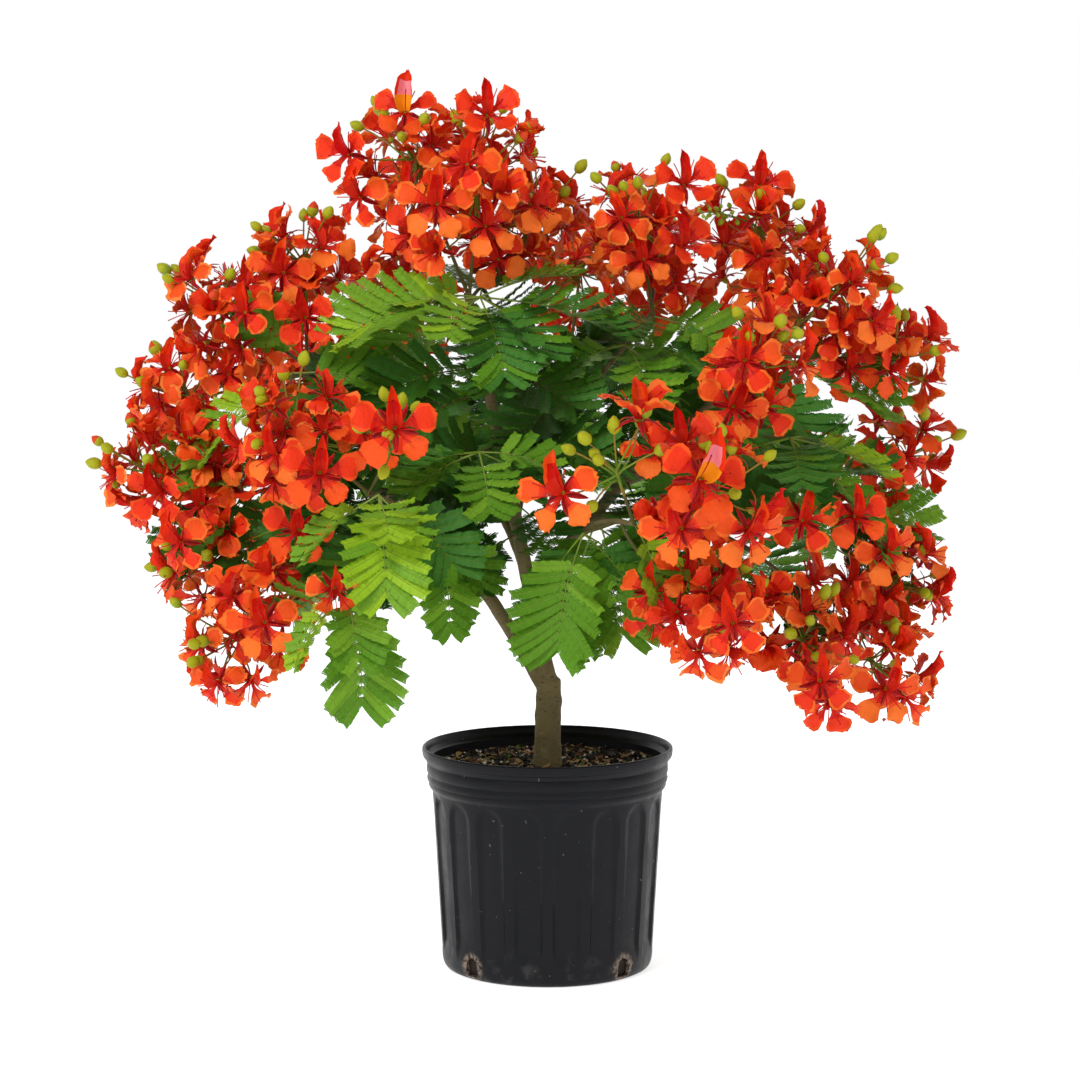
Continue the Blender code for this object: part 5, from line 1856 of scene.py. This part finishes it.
def petal_finish(petal, along, outer):
    """The finish of one face: claw, then a deeper heart, then blade and margin."""
    if along < CLAW_SHARE + 0.08:
        return petal.claw
    if petal.spear:
        return petal.margin if outer or along > SPEAR_TIP else petal.blade
    if outer and along > HEART_SHARE:
        return petal.margin
    return DEEPER[petal.blade] if along < HEART_SHARE else petal.blade


def add_petal(shape, petal, chance, slots):
    """One crinkled petal, as a grid of faces with a finish each."""
    radial = Vector((math.cos(petal.angle), math.sin(petal.angle), 0.0))
    across = Vector((-radial.y, radial.x, 0.0))
    twist = chance.uniform(-PETAL_TWIST, PETAL_TWIST)
    phase = chance.uniform(0.0, FULL_TURN)
    waves = chance.uniform(*PETAL_WAVES)
    place = radial * PETAL_FOOT
    rows = []
    for row in range(PETAL_ROWS):
        along = row / (PETAL_ROWS - 1)
        rise = math.radians(petal.foot_lift + (petal.tip_lift - petal.foot_lift) * along ** 1.4)
        heading = radial * math.cos(rise) + Vector((0.0, 0.0, math.sin(rise)))
        up = across.cross(heading) * -1.0
        if row:
            place = place + heading * petal.length / (PETAL_ROWS - 1)
        width = blade_width(along, petal.half_width, petal.spear)
        open_share = smooth_share(along, CLAW_SHARE, 0.65)
        verts = []
        for number, column in enumerate(PETAL_ACROSS):
            cup = petal.fold * column * column * width
            edge = abs(column) ** 1.5 * open_share
            crinkle = CRINKLE * edge * math.sin(phase + waves * FULL_TURN * along + 2.4 * column)
            pleat = PLEAT * open_share * (-1.0 if number % 2 else 1.0)
            ragged = 1.0 + RAGGED * edge * math.sin(2.0 * phase + waves * 9.0 * along)
            scallop = SCALLOP * math.sin(phase + 7.0 * column) - TIP_ROUND * column * column
            forward = smooth_share(along, 0.78, 1.0) * (0.0 if petal.spear else scallop)
            sideways = across * column * width * ragged + up * column * width * twist
            verts.append(shape.verts.new(
                place + sideways + heading * forward + up * (cup + crinkle + pleat)))
        rows.append(verts)
    for row, (near, far) in enumerate(zip(rows, rows[1:])):
        along = (row + 0.5) / (PETAL_ROWS - 1)
        for column in range(len(PETAL_ACROSS) - 1):
            face = shape.faces.new((near[column], near[column + 1], far[column + 1], far[column]))
            outer = column in (0, len(PETAL_ACROSS) - 2) or row == PETAL_ROWS - 2
            face.material_index = slots[petal_finish(petal, along, outer)]


# %% [markdown]
# ### Sepals, stamens and calyx
#
# A sepal is a strip with a ridge on each side, so that its front can be crimson and its back
# orange, and so that it has a body when it is seen edge on. A stamen is a three-sided tube on
# a bent line, which is enough for a thread this thin, with a small pointed anther at its end.
# The calyx is a short six-sided tube behind the flower.

# %% The rest of the flower
SEPAL_LENGTH = 0.50
SEPAL_HALF_WIDTH = 0.078
SEPAL_ROWS = ((0.0, 0.7), (0.3, 1.0), (0.65, 0.85), (0.9, 0.4))
SEPAL_FOOT = 0.05
SEPAL_SET_BACK = 0.03
SEPAL_LIFT = 0.24
SEPAL_DROOP = 0.42
SEPAL_FRONT = 0.012
SEPAL_BACK = 0.022
STAMENS = 10
STAMEN_STEPS = 5
STAMEN_THICK = 0.017
STAMEN_FOOT = 0.035
STAMEN_LEAN = 0.20
ANTHER = 0.032
ANTHER_WAIST = 0.6
STAMEN_LENGTHS = (0.50, 0.68)


def add_sepal(shape, angle, slots):
    """A pointed sepal: crimson towards the front, orange behind."""
    radial = Vector((math.cos(angle), math.sin(angle), 0.0))
    across = Vector((-radial.y, radial.x, 0.0))
    edges = []
    fronts = []
    backs = []
    for share, width in SEPAL_ROWS:
        height = SEPAL_LIFT * share - SEPAL_DROOP * share * share - SEPAL_SET_BACK
        middle = radial * (SEPAL_FOOT + SEPAL_LENGTH * share) + UP * height
        side = across * SEPAL_HALF_WIDTH * width
        edges.append((shape.verts.new(middle - side), shape.verts.new(middle + side)))
        fronts.append(shape.verts.new(middle + UP * SEPAL_FRONT))
        backs.append(shape.verts.new(middle - UP * SEPAL_BACK))
    tip_height = SEPAL_LIFT - SEPAL_DROOP - SEPAL_SET_BACK
    tip = shape.verts.new(radial * (SEPAL_FOOT + SEPAL_LENGTH) + UP * tip_height)
    for ridges, name in ((fronts, "sepal"), (backs, "sepal_back")):
        for index in range(len(edges) - 1):
            for side in (0, 1):
                face = shape.faces.new((edges[index][side], edges[index + 1][side],
                                        ridges[index + 1], ridges[index]))
                face.material_index = slots[name]
        for side in (0, 1):
            face = shape.faces.new((edges[-1][side], tip, ridges[-1]))
            face.material_index = slots[name]


def add_tube(shape, route, radii, corners, slot):
    """A thin tube along a route."""
    rings = []
    for index, place in enumerate(route):
        after = route[min(index + 1, len(route) - 1)]
        behind = route[max(index - 1, 0)]
        along = (after - behind).normalized()
        side = square_to(along)
        other = along.cross(side)
        turns = [2.0 * math.pi * corner / corners for corner in range(corners)]
        rings.append([shape.verts.new(
            place + (side * math.cos(turn) + other * math.sin(turn)) * radii[index])
            for turn in turns])
    join_rings(shape, rings, slot)


def add_stamens(shape, chance, slots):
    """Ten stamens that fan out and curve up towards the standard petal."""
    for index in range(STAMENS):
        angle = 2.0 * math.pi * (index + 0.5) / STAMENS
        radial = Vector((math.cos(angle), math.sin(angle), 0.0))
        length = chance.uniform(*STAMEN_LENGTHS)
        foot = radial * STAMEN_FOOT
        bend = foot + (radial * 0.48 + UP * 0.75).normalized() * length * 0.6
        outward = radial * 0.75 + UP * 0.45 + Vector((0.0, STAMEN_LEAN, 0.0))
        head = bend + outward.normalized() * length * 0.5
        route = bent(foot, bend, head, STAMEN_STEPS)
        add_tube(shape, route, [STAMEN_THICK] * STAMEN_STEPS, 3, slots["filament"])
        ends = [shape.verts.new(head + axis * ANTHER * share) for axis, share in (
            (radial, ANTHER_WAIST), (-radial, ANTHER_WAIST), (UP, 1.0), (-UP, 1.0),
            (radial.cross(UP), ANTHER_WAIST), (-radial.cross(UP), ANTHER_WAIST))]
        for first, second in ((0, 4), (4, 1), (1, 5), (5, 0)):
            for pole in (2, 3):
                face = shape.faces.new((ends[first], ends[second], ends[pole]))
                face.material_index = slots["anther"]


Look = namedtuple("Look", "seed tones throat foot_lift tip_lift reach tall")
# The five tones are those of the upper blades, the lower ones, their margins, the standard
# petal and its margin. The lifts are degrees.
LOOKS = (
    Look(1, "scarlet vermilion vermilion crimson scarlet", "claw", 40, -16, 1.00, 1.00),
    Look(2, "vermilion orange orange crimson vermilion", "claw", 36, -26, 1.00, 1.05),
    Look(3, "scarlet scarlet vermilion crimson crimson", "claw", 44, -4, 1.00, 1.00),
    Look(4, "vermilion scarlet orange scarlet scarlet", "claw", 34, -38, 0.98, 1.00),
    Look(5, "scarlet scarlet vermilion crimson crimson", "filament", 48, -12, 0.96, 1.00),
    Look(6, "scarlet vermilion vermilion crimson scarlet", "claw", 72, 30, 0.92, 1.00),
    Look(7, "scarlet vermilion vermilion pink scarlet", "petal_amber", 38, -18, 1.00, 1.18),
    Look(8, "scarlet vermilion orange vermilion scarlet", "claw", 62, 2, 0.96, 1.00),
    Look(9, "vermilion vermilion edge scarlet vermilion", "claw", 42, -46, 0.98, 1.00),
    Look(10, "scarlet orange orange crimson scarlet", "claw", 30, -8, 1.02, 1.00),
)
BUD_PROFILE = ((0.0, 0.10), (0.10, 0.24), (0.30, 0.35), (0.52, 0.36), (0.74, 0.27), (0.90, 0.13))
BUD_CORNERS = 8
BUD_TIP_ROW = 3
BUD_FINISHES = ((1, "bud_olive", "bud_olive"), (2, "bud_green", "bud_olive"),
                (3, "bud_olive", "bud_red"), (4, "bud_green", "bud_green"))
STANDARD_TURN = math.radians(90.0)
STANDARD_HALF_WIDTH = 0.17
STANDARD_FOOT_RISE = 16.0
STANDARD_TIP_RISE = 10.0
STANDARD_FOLD = 1.5
ANGLE_SPREAD = 0.14
LENGTH_RANGE = (0.92, 1.05)
HALF_WIDTH_RANGE = (0.29, 0.36)
FOLD_RANGE = (-0.35, 0.45)
FOOT_LIFT_SPREAD = 8.0
TIP_LIFT_SPREAD = 24.0
PETALS = 5
PETAL_TURN = math.radians(360.0 / PETALS)
CALYX_HEIGHTS = (-0.16, -0.09, -0.01, 0.05)
CALYX_RADII = (0.035, 0.075, 0.085, 0.02)
CALYX_CORNERS = 6


def flower_template(look):
    """One whole flower, one unit in radius."""
    chance = random.Random(look.seed)
    shape = bmesh.new()
    upper, lower, margin, standard, edge = ("petal_" + tone for tone in look.tones.split())
    names = list(dict.fromkeys((upper, lower, margin, standard, edge, look.throat, DEEPER[upper],
                                DEEPER[lower], "claw", "sepal", "sepal_back", "filament",
                                "anther", "calyx")))
    slots = {name: index for index, name in enumerate(names)}
    for index in range(1, 5):
        angle = STANDARD_TURN + PETAL_TURN * index + chance.uniform(-ANGLE_SPREAD, ANGLE_SPREAD)
        blade = upper if index in (1, 4) else lower
        petal = Petal(angle, look.reach * chance.uniform(*LENGTH_RANGE),
                      chance.uniform(*HALF_WIDTH_RANGE),
                      look.foot_lift + chance.uniform(-FOOT_LIFT_SPREAD, FOOT_LIFT_SPREAD),
                      look.tip_lift + chance.uniform(-TIP_LIFT_SPREAD, TIP_LIFT_SPREAD),
                      chance.uniform(*FOLD_RANGE), False, "claw", blade, margin)
        add_petal(shape, petal, chance, slots)
    petal = Petal(STANDARD_TURN, look.reach * look.tall, STANDARD_HALF_WIDTH * look.tall ** 2,
                  look.foot_lift + STANDARD_FOOT_RISE, look.tip_lift + STANDARD_TIP_RISE,
                  STANDARD_FOLD, True, look.throat, standard, edge)
    add_petal(shape, petal, chance, slots)
    for index in range(PETALS):
        add_sepal(shape, STANDARD_TURN + PETAL_TURN * (index + 0.5), slots)
    add_stamens(shape, chance, slots)
    add_tube(shape, [UP * height for height in CALYX_HEIGHTS], CALYX_RADII, CALYX_CORNERS,
             slots["calyx"])
    return mesh_of(shape, "flower", *(bpy.data.materials[name] for name in names))


def bud_template(seed, side, tip):
    """An egg-shaped bud, one unit long, standing on its foot and pointing to +Z."""
    chance = random.Random(seed)
    shape = bmesh.new()
    rings = []
    for height, radius in BUD_PROFILE:
        ring = []
        for corner in range(BUD_CORNERS):
            turn = 2.0 * math.pi * corner / BUD_CORNERS
            swell = radius * (1.0 + chance.uniform(-0.05, 0.05))
            ring.append(shape.verts.new((swell * math.cos(turn), swell * math.sin(turn), height)))
        rings.append(ring)
    peak = shape.verts.new((0.0, 0.0, 1.0))
    join_rings(shape, rings[:BUD_TIP_ROW + 1])
    join_rings(shape, rings[BUD_TIP_ROW:], 1)
    for corner, vert in enumerate(rings[-1]):
        face = shape.faces.new((vert, rings[-1][(corner + 1) % BUD_CORNERS], peak))
        face.material_index = 1
    return mesh_of(shape, "bud", bpy.data.materials[side], bpy.data.materials[tip])


flower_shapes = shape_set("flower", [flower_template(look) for look in LOOKS], smooth=True)
bud_shapes = shape_set("bud", [bud_template(*finishes) for finishes in BUD_FINISHES], smooth=True)

# %% [markdown]
# ## Trusses
#
# The flowers of a truss spread over a dome that leans away from the heart of the crown and a
# little upwards. Directions follow the golden angle, which fills a dome evenly, and one that
# comes too near an earlier flower is passed over. The first flowers are the frame's own. More
# are then grown inside the same reach by the same rule, until the truss is as full as a real one.
# Only the lone flowers that meet the eye in front stand in a given list.

# %% Truss rule
CROWN_HEART = Vector((0.0, 0.0, 0.50))
GOLDEN_TURN = math.radians(137.508)
GOLDEN_SHARE = 0.618
TRUSS_LIFT = 0.25
TRUSS_DOME = 100.0
TRUSS_TRIES = 40
FLOWER_SPREAD = 68.0
BUD_SPREAD = 38.0
FLOWER_RADIUS = 0.0400
FLOWER_SIZE_SPREAD = 0.08
FLOWER_CUP = 0.0070
FLOWER_THROAT = 0.0045
FLOWER_SHY = 0.2
FLOWER_TURN_OUT = 0.6
BUD_LENGTH = 0.020
BUD_REACH_SHARE = 0.8
FRAME_NEARNESS = 0.0006
FULLNESS = 2.8
MORE_TRIES = 160
FLOWER_ROOM = 0.036
HERO_ROOM = 0.050
WOOD_ROOM = 0.024
Flower = namedtuple("Flower", "truss place facing radius kind roll")
Hero = namedtuple("Hero", "place radius kind bearing pitch roll")
HEROES = {
    "blossom_front_left_single": (
        ((-0.153, -0.362, 0.633), 0.047, 0, 4, 6, 4),
    ),
    "blossom_top_front": (
        ((-0.119, -0.100, 0.857), 0.045, 1, -6, 8, -6),
        ((-0.066, -0.086, 0.952), 0.041, 2, 8, 34, 4),
    ),
    "blossom_front": (
        ((0.090, -0.340, 0.640), 0.050, 7, 10, 76, 0),
        ((0.015, -0.362, 0.568), 0.045, 1, -26, 10, 10),
    ),
    "blossom_front_right": (
        ((0.151, -0.366, 0.583), 0.050, 6, 14, 4, -14),
        ((0.134, -0.340, 0.531), 0.042, 1, -18, -14, 6),
        ((0.201, -0.330, 0.528), 0.043, 1, 20, -12, -8),
    ),
    "blossom_front_left": (
        ((-0.234, -0.280, 0.582), 0.044, 0, 6, 4, -4),
    ),
    "blossom_right_low": (
        ((0.284, -0.240, 0.361), 0.042, 3, 8, -6, 6),
        ((0.298, -0.206, 0.334), 0.040, 4, 6, -38, -8),
    ),
    "blossom_right_foot": (
        ((0.362, -0.160, 0.340), 0.043, 1, 10, -4, -10),
        ((0.388, -0.110, 0.324), 0.041, 8, 16, -30, 12),
    ),
    "blossom_left_foot": (
        ((-0.299, -0.200, 0.417), 0.043, 1, -10, 2, 8),
        ((-0.352, -0.176, 0.350), 0.038, 3, -12, -30, 6),
        ((-0.318, -0.170, 0.352), 0.037, 8, 10, -40, -10),
        ((-0.224, -0.220, 0.456), 0.038, 8, 12, -24, 4),
    ),
    "blossom_front_right_up": (
        ((0.202, -0.260, 0.696), 0.043, 3, -10, 8, -6),
    ),
    "blossom_front_low": (
        ((0.188, -0.310, 0.431), 0.043, 3, -8, -8, 10),
        ((0.156, -0.262, 0.394), 0.040, 8, -24, -34, 14),
    ),
    "blossom_top_left": (
        ((-0.157, -0.006, 0.958), 0.041, 6, -6, 30, -4),
        ((-0.218, -0.020, 0.912), 0.040, 4, -30, 12, 8),
        ((-0.206, -0.030, 0.866), 0.042, 3, -36, 0, -6),
    ),
    "blossom_upper_mid": (
        ((0.149, -0.036, 0.878), 0.040, 2, 10, 30, 6),
    ),
    "blossom_upper_right": (
        ((0.236, 0.020, 0.878), 0.041, 0, 0, 32, -6),
    ),
    "blossom_left_low": (
        ((-0.393, -0.150, 0.498), 0.041, 3, -30, -4, 10),
        ((-0.264, -0.170, 0.512), 0.042, 0, -6, -10, -8),
    ),
    "blossom_right_outer_low": (
        ((0.268, -0.200, 0.525), 0.041, 3, 4, 6, -10),
        ((0.325, -0.175, 0.527), 0.040, 0, 14, 10, 6),
        ((0.362, -0.150, 0.488), 0.041, 1, 20, 0, 12),
    ),
}


def dome_direction(axis, index, shift):
    """The index-th direction of an even golden-angle spread over a dome about an axis."""
    share = (index * GOLDEN_SHARE + 0.5) % 1.0
    lean = math.acos(1.0 - share * (1.0 - math.cos(math.radians(TRUSS_DOME))))
    turn = index * GOLDEN_TURN + shift
    side = square_to(axis)
    other = axis.cross(side)
    around = side * math.cos(turn) + other * math.sin(turn)
    return axis * math.cos(lean) + around * math.sin(lean)


def truss_axis(head):
    """The way a truss leans."""
    return ((head - CROWN_HEART).normalized() + UP * TRUSS_LIFT).normalized()


def framed_truss(name):
    """The flowers and buds of a truss that the frame's own solid has."""
    truss = TRUSSES[name]
    head = stems[name][-1]
    places = frame_places(name)

    def is_framed(point):
        return np.linalg.norm(places - np.array(point), axis=1).min() < FRAME_NEARNESS

    chance = random.Random(name)
    axis = truss_axis(head)
    shift = chance.uniform(0.0, 2.0 * math.pi)
    rays = []
    flowers = []
    buds = []
    for index in range(TRUSS_TRIES):
        ray = dome_direction(axis, index, shift)
        blooms = len(rays) < truss.flowers
        spread = math.radians(FLOWER_SPREAD if blooms else BUD_SPREAD)
        if len(rays) == truss.flowers + truss.buds:
            break
        if any(ray.angle(other) < spread for other in rays):
            continue
        if blooms:
            radius = FLOWER_RADIUS * chance.uniform(1.0 - FLOWER_SIZE_SPREAD, 1.0 + FLOWER_SIZE_SPREAD)
            place = head + ray * (truss.reach - FLOWER_CUP - FLOWER_SHY * radius)
            facing = (ray + axis * FLOWER_TURN_OUT).normalized()
            if is_framed(place + facing * FLOWER_THROAT):
                rays.append(ray)
                flowers.append((place, facing, radius))
        else:
            tip = head + ray * (truss.reach * BUD_REACH_SHARE + BUD_LENGTH / 2.0)
            if is_framed(tip):
                rays.append(ray)
                buds.append((head + ray * (truss.reach * BUD_REACH_SHARE - BUD_LENGTH / 2.0), ray))
    return flowers, buds


framed = {name: framed_truss(name) for name in TRUSSES}
print(f"the frame holds {sum(len(f) for f, _ in framed.values())} flowers and "
      f"{sum(len(b) for _, b in framed.values())} buds")

# %% [markdown]
# ### Filling the trusses
#
# On a real truss the flowers crowd about the upper half of the stem, a flower's breadth apart.
# So each truss tries places at random from a fixed seed, and keeps one if it is clear of the
# other flowers and of the wood. On the side that is seen, the faces are turned outwards a
# little, because the flowers of a crown look away from it, to the light.

# %% Choose every flower
KINDS = (0, 1, 1, 2, 3, 3, 4, 5, 7, 8, 8, 9, 9)
DRAWN_IN = 0.20
DRAWN_FURTHER = {
    "blossom_right_far": 0.60, "blossom_right_shoulder": 0.42, "blossom_top_back": 0.40,
    "blossom_upper_mid": 0.34, "blossom_upper_left": 0.42, "blossom_left_low": 0.34,
    "blossom_left_tip": 0.34, "blossom_right_outer": 0.30, "blossom_back_mid_up": 0.45,
}
BY_HAND_ONLY = ("blossom_front", "blossom_front_left_single")
LESS_FULL = {"blossom_front_right_up": 0.6, "blossom_front_right": 0.7}
FACE_OUT = 0.7
VIEWER_SIDE = 0.12
NEAREST_SHARE = 0.30
FURTHEST_SHARE = 0.78
BARE_STEM_SHARE = 0.50
AXIS_RANGE = (0.2, 0.6)
OUTWARD_BEARING = 35.0
OUTWARD_PITCHES = (-25.0, 40.0)
SIZE_RANGE = (0.90, 1.06)
FRAMED_ROLL = 25.0
FILLED_ROLL = 30.0
DOME_PLACES = 1000


def wood_distance(place):
    """How far a place is from the middle of the nearest bough."""
    spot = np.array([tuple(place)])
    best = 1.0
    for limb in limbs.values():
        foot, _ = nearest_on(limb.route, spot)
        best = min(best, (place - foot).length)
    return best


def choose_flowers():
    """All the flowers: the listed lone ones, the frame's own, then the filling ones."""
    chosen = []

    def is_clear(place, room, hero_room):
        return all((place - flower.place).length > (hero_room if index < heroes else room)
                   for index, flower in enumerate(chosen))

    for name, rows in HEROES.items():
        for hero in map(Hero._make, rows):
            chosen.append(Flower(name, Vector(hero.place), toward(hero.bearing, hero.pitch),
                                 hero.radius, hero.kind, hero.roll))
    heroes = len(chosen)
    for name, (flowers, _) in framed.items():
        chance = random.Random(name + " kinds")
        for place, facing, radius in flowers:
            place = place.lerp(stems[name][-1], DRAWN_FURTHER.get(name, DRAWN_IN))
            if name not in BY_HAND_ONLY and is_clear(place, FLOWER_ROOM, FLOWER_ROOM):
                chosen.append(Flower(name, place, facing, radius, chance.choice(KINDS),
                                     chance.uniform(-FRAMED_ROLL, FRAMED_ROLL)))
    for name, truss in TRUSSES.items():
        if name in BY_HAND_ONLY:
            continue
        head = stems[name][-1]
        chance = random.Random(name + " more")
        axis = truss_axis(head)
        turn_out = FACE_OUT if head.y < VIEWER_SIDE else 0.0
        wanted = round(truss.flowers * FULLNESS * LESS_FULL.get(name, 1.0)) + 1
        for _ in range(MORE_TRIES):
            if wanted == 0:
                break
            ray = dome_direction(axis, chance.randrange(DOME_PLACES),
                                 chance.uniform(0.0, FULL_TURN))
            foot, _ = place_on(stems[name], chance.uniform(BARE_STEM_SHARE, 1.0))
            place = foot + ray * truss.reach * chance.uniform(NEAREST_SHARE, FURTHEST_SHARE)
            if is_clear(place, FLOWER_ROOM, HERO_ROOM) and wood_distance(place) > WOOD_ROOM:
                outward = toward(chance.uniform(-OUTWARD_BEARING, OUTWARD_BEARING),
                                 chance.uniform(*OUTWARD_PITCHES))
                facing = (ray + axis * chance.uniform(*AXIS_RANGE) + outward * turn_out).normalized()
                radius = FLOWER_RADIUS * chance.uniform(*SIZE_RANGE)
                chosen.append(Flower(name, place, facing, radius, chance.choice(KINDS),
                                     chance.uniform(-FILLED_ROLL, FILLED_ROLL)))
                wanted -= 1
    return chosen


flowers = choose_flowers()
print(f"{len(flowers)} flowers")

# %% [markdown]
# ### Stalks, buds and the young raceme
#
# Every flower and bud has its own stalk, which leaves the stem near its end and bends round to
# meet the flower's back. A stalk is a line again, and the tree for twigs sweeps it. Buds are
# egg-shaped templates on points. One young raceme stands among the trusses: a slender axis
# with buds that turn about it by the golden angle and grow smaller towards its tip.

# %% Grow the blossom
PEDICEL_FOOT = 0.00115
PEDICEL_TIP = 0.00100
FLOWER_BACK_SHARE = 0.14
BLOSSOM_PIECES = {
    "petals_front": ("blossom_front", "blossom_front_left_single", "blossom_front_right",
                     "blossom_front_low", "blossom_front_left", "blossom_front_right_up",
                     "blossom_right_low", "blossom_right_foot", "blossom_left_foot",
                     "blossom_left_low"),
    "petals_upper": ("blossom_top_left", "blossom_top_front", "blossom_top_back",
                     "blossom_upper_left", "blossom_left_shoulder", "blossom_left_outer",
                     "blossom_left_tip", "blossom_upper_mid", "blossom_upper_right",
                     "blossom_right_shoulder"),
    "petals_back": ("blossom_right_outer_low", "blossom_right_far", "blossom_right_outer",
                    "blossom_centre_back", "blossom_back_left_up", "blossom_back_left_out",
                    "blossom_back_mid_up", "blossom_back_right_up", "blossom_back_right_low",
                    "blossom_back_low"),
}
EXTRA_BUDS = 5
BUD_LEAN_OUT = 0.7
BUD_LEAN_UP = 0.5
BUD_NEAREST_SHARE = 0.55
BUD_FURTHEST_SHARE = 0.95
RACEME_TRUSS = "blossom_upper_right"
RACEME_TIP = Vector((0.166, -0.060, 0.848))
RACEME_BUDS = 16
RACEME_RADII = (0.0013, 0.0006)
RACEME_BARE = 0.40
RACEME_ARCH = 0.012
RACEME_STALK = 0.013
RACEME_STALK_RADII = (0.0006, 0.0005)
GREEN_BUD = 3
BUDS_DEALT = (0, 0, 1, 2, 0)
BUD_LENGTHS = (0.75, 1.0)
PEDICEL_LOWEST = 0.86
PEDICEL_BEND = 0.45
PEDICEL_RINGS = 7


def upward_of(facing, roll):
    """The direction of the standard petal: up, square to the facing, rolled a little."""
    side = square_to(facing)
    up = side.cross(facing).normalized()
    if up.z < 0.0:
        up = -up
    return Matrix.Rotation(math.radians(roll), 3, facing) @ up


def add_pedicel(lines, name, place, facing, back, chance):
    """A stalk from the stem's upper end to the back of a flower or bud."""
    foot = place_on(stems[name], chance.uniform(PEDICEL_LOWEST, 1.0))[0]
    end = place - facing * back
    bend = end - facing * (end - foot).length * PEDICEL_BEND
    lines.add(bent(foot, bend, end, PEDICEL_RINGS), PEDICEL_FOOT, PEDICEL_TIP, "stalk",
              "stalk_warm")


def grow_raceme(lines, points):
    """A young raceme: small green buds, smaller towards its tip."""
    chance = random.Random(9)
    foot = stems[RACEME_TRUSS][-1]
    run = RACEME_TIP - foot
    bend = foot + run * 0.5 + UP * RACEME_ARCH
    axis = bent(foot, bend, RACEME_TIP, 10)
    lines.add(axis, *RACEME_RADII, "stalk")
    for index in range(RACEME_BUDS):
        share = RACEME_BARE + (1.0 - RACEME_BARE) * index / (RACEME_BUDS - 1)
        start, along = place_on(axis, share)
        side = square_to(along)
        turn = index * GOLDEN_TURN
        out = side * math.cos(turn) + along.cross(side) * math.sin(turn)
        ray = (out + along * 0.7).normalized()
        size = 0.011 - 0.006 * share + chance.uniform(-0.001, 0.001)
        end = start + ray * RACEME_STALK * (1.25 - share)
        lines.add([start, end], *RACEME_STALK_RADII, "stalk")
        points.add(end, ray, square_to(ray), size, GREEN_BUD)


stalk_lines = Lines()
bud_points = Points()
for piece_name, truss_names in BLOSSOM_PIECES.items():
    flower_points = Points()
    for flower in flowers:
        if flower.truss in truss_names:
            flower_points.add(flower.place, flower.facing, upward_of(flower.facing, flower.roll),
                              flower.radius, flower.kind)
    petals = grown(piece_name, flower_points.mesh(), placing_tree, {"Shapes": flower_shapes})
    show(piece_name, petals, truss_names, smooth=False)
for truss_name, truss in TRUSSES.items():
    stalk_chance = random.Random(truss_name + " stalks")
    stalk_lines.add(stems[truss_name], STEM_FOOT_RADIUS, STEM_HEAD_RADIUS, "twig", "stalk")
    for flower in flowers:
        if flower.truss == truss_name:
            add_pedicel(stalk_lines, truss_name, flower.place, flower.facing,
                        flower.radius * FLOWER_BACK_SHARE, stalk_chance)
    truss_head = stems[truss_name][-1]
    truss_buds = list(framed[truss_name][1])
    bud_side = -BUD_LEAN_OUT if truss_head.y < VIEWER_SIDE else BUD_LEAN_OUT
    for _ in range(EXTRA_BUDS):
        bud_ray = dome_direction(truss_axis(truss_head), stalk_chance.randrange(DOME_PLACES), 0.0)
        bud_ray = (bud_ray + Vector((0.0, bud_side, BUD_LEAN_UP))).normalized()
        bud_reach = truss.reach * stalk_chance.uniform(BUD_NEAREST_SHARE, BUD_FURTHEST_SHARE)
        truss_buds.append((truss_head + bud_ray * bud_reach, bud_ray))
    truss_buds = [(place, ray, BUD_LENGTH * stalk_chance.uniform(*BUD_LENGTHS))
                  for place, ray in truss_buds]
    for bud_place, bud_ray, bud_length in truss_buds:
        add_pedicel(stalk_lines, truss_name, bud_place, bud_ray, 0.0, stalk_chance)
        bud_points.add(bud_place, bud_ray, square_to(bud_ray), bud_length,
                       stalk_chance.choice(BUDS_DEALT))
grow_raceme(stalk_lines, bud_points)
show("flower_stalks", grown("flower_stalks", stalk_lines.mesh(), sweep_tree, {"Corners": 5}),
     list(TRUSSES))
show("flower_buds", grown("flower_buds", bud_points.mesh(), placing_tree, {"Shapes": bud_shapes}),
     list(TRUSSES), smooth=False)

# %% [markdown]
# ## The finished size
#
# The visible plant may be a little larger than the frame, by petals that curl and leaflets
# that point outwards, but it has to be the same plant. The two boxes are kept side by side.

# %% Compare the sizes
seen_low, seen_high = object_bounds()
for axis_name, low, high, seen_from, seen_to in zip("xyz", cad_low, cad_high, seen_low, seen_high):
    print(f"{axis_name}: frame {low * 1000:.0f} to {high * 1000:.0f} mm, "
          f"plant {seen_from * 1000:.0f} to {seen_to * 1000:.0f} mm")
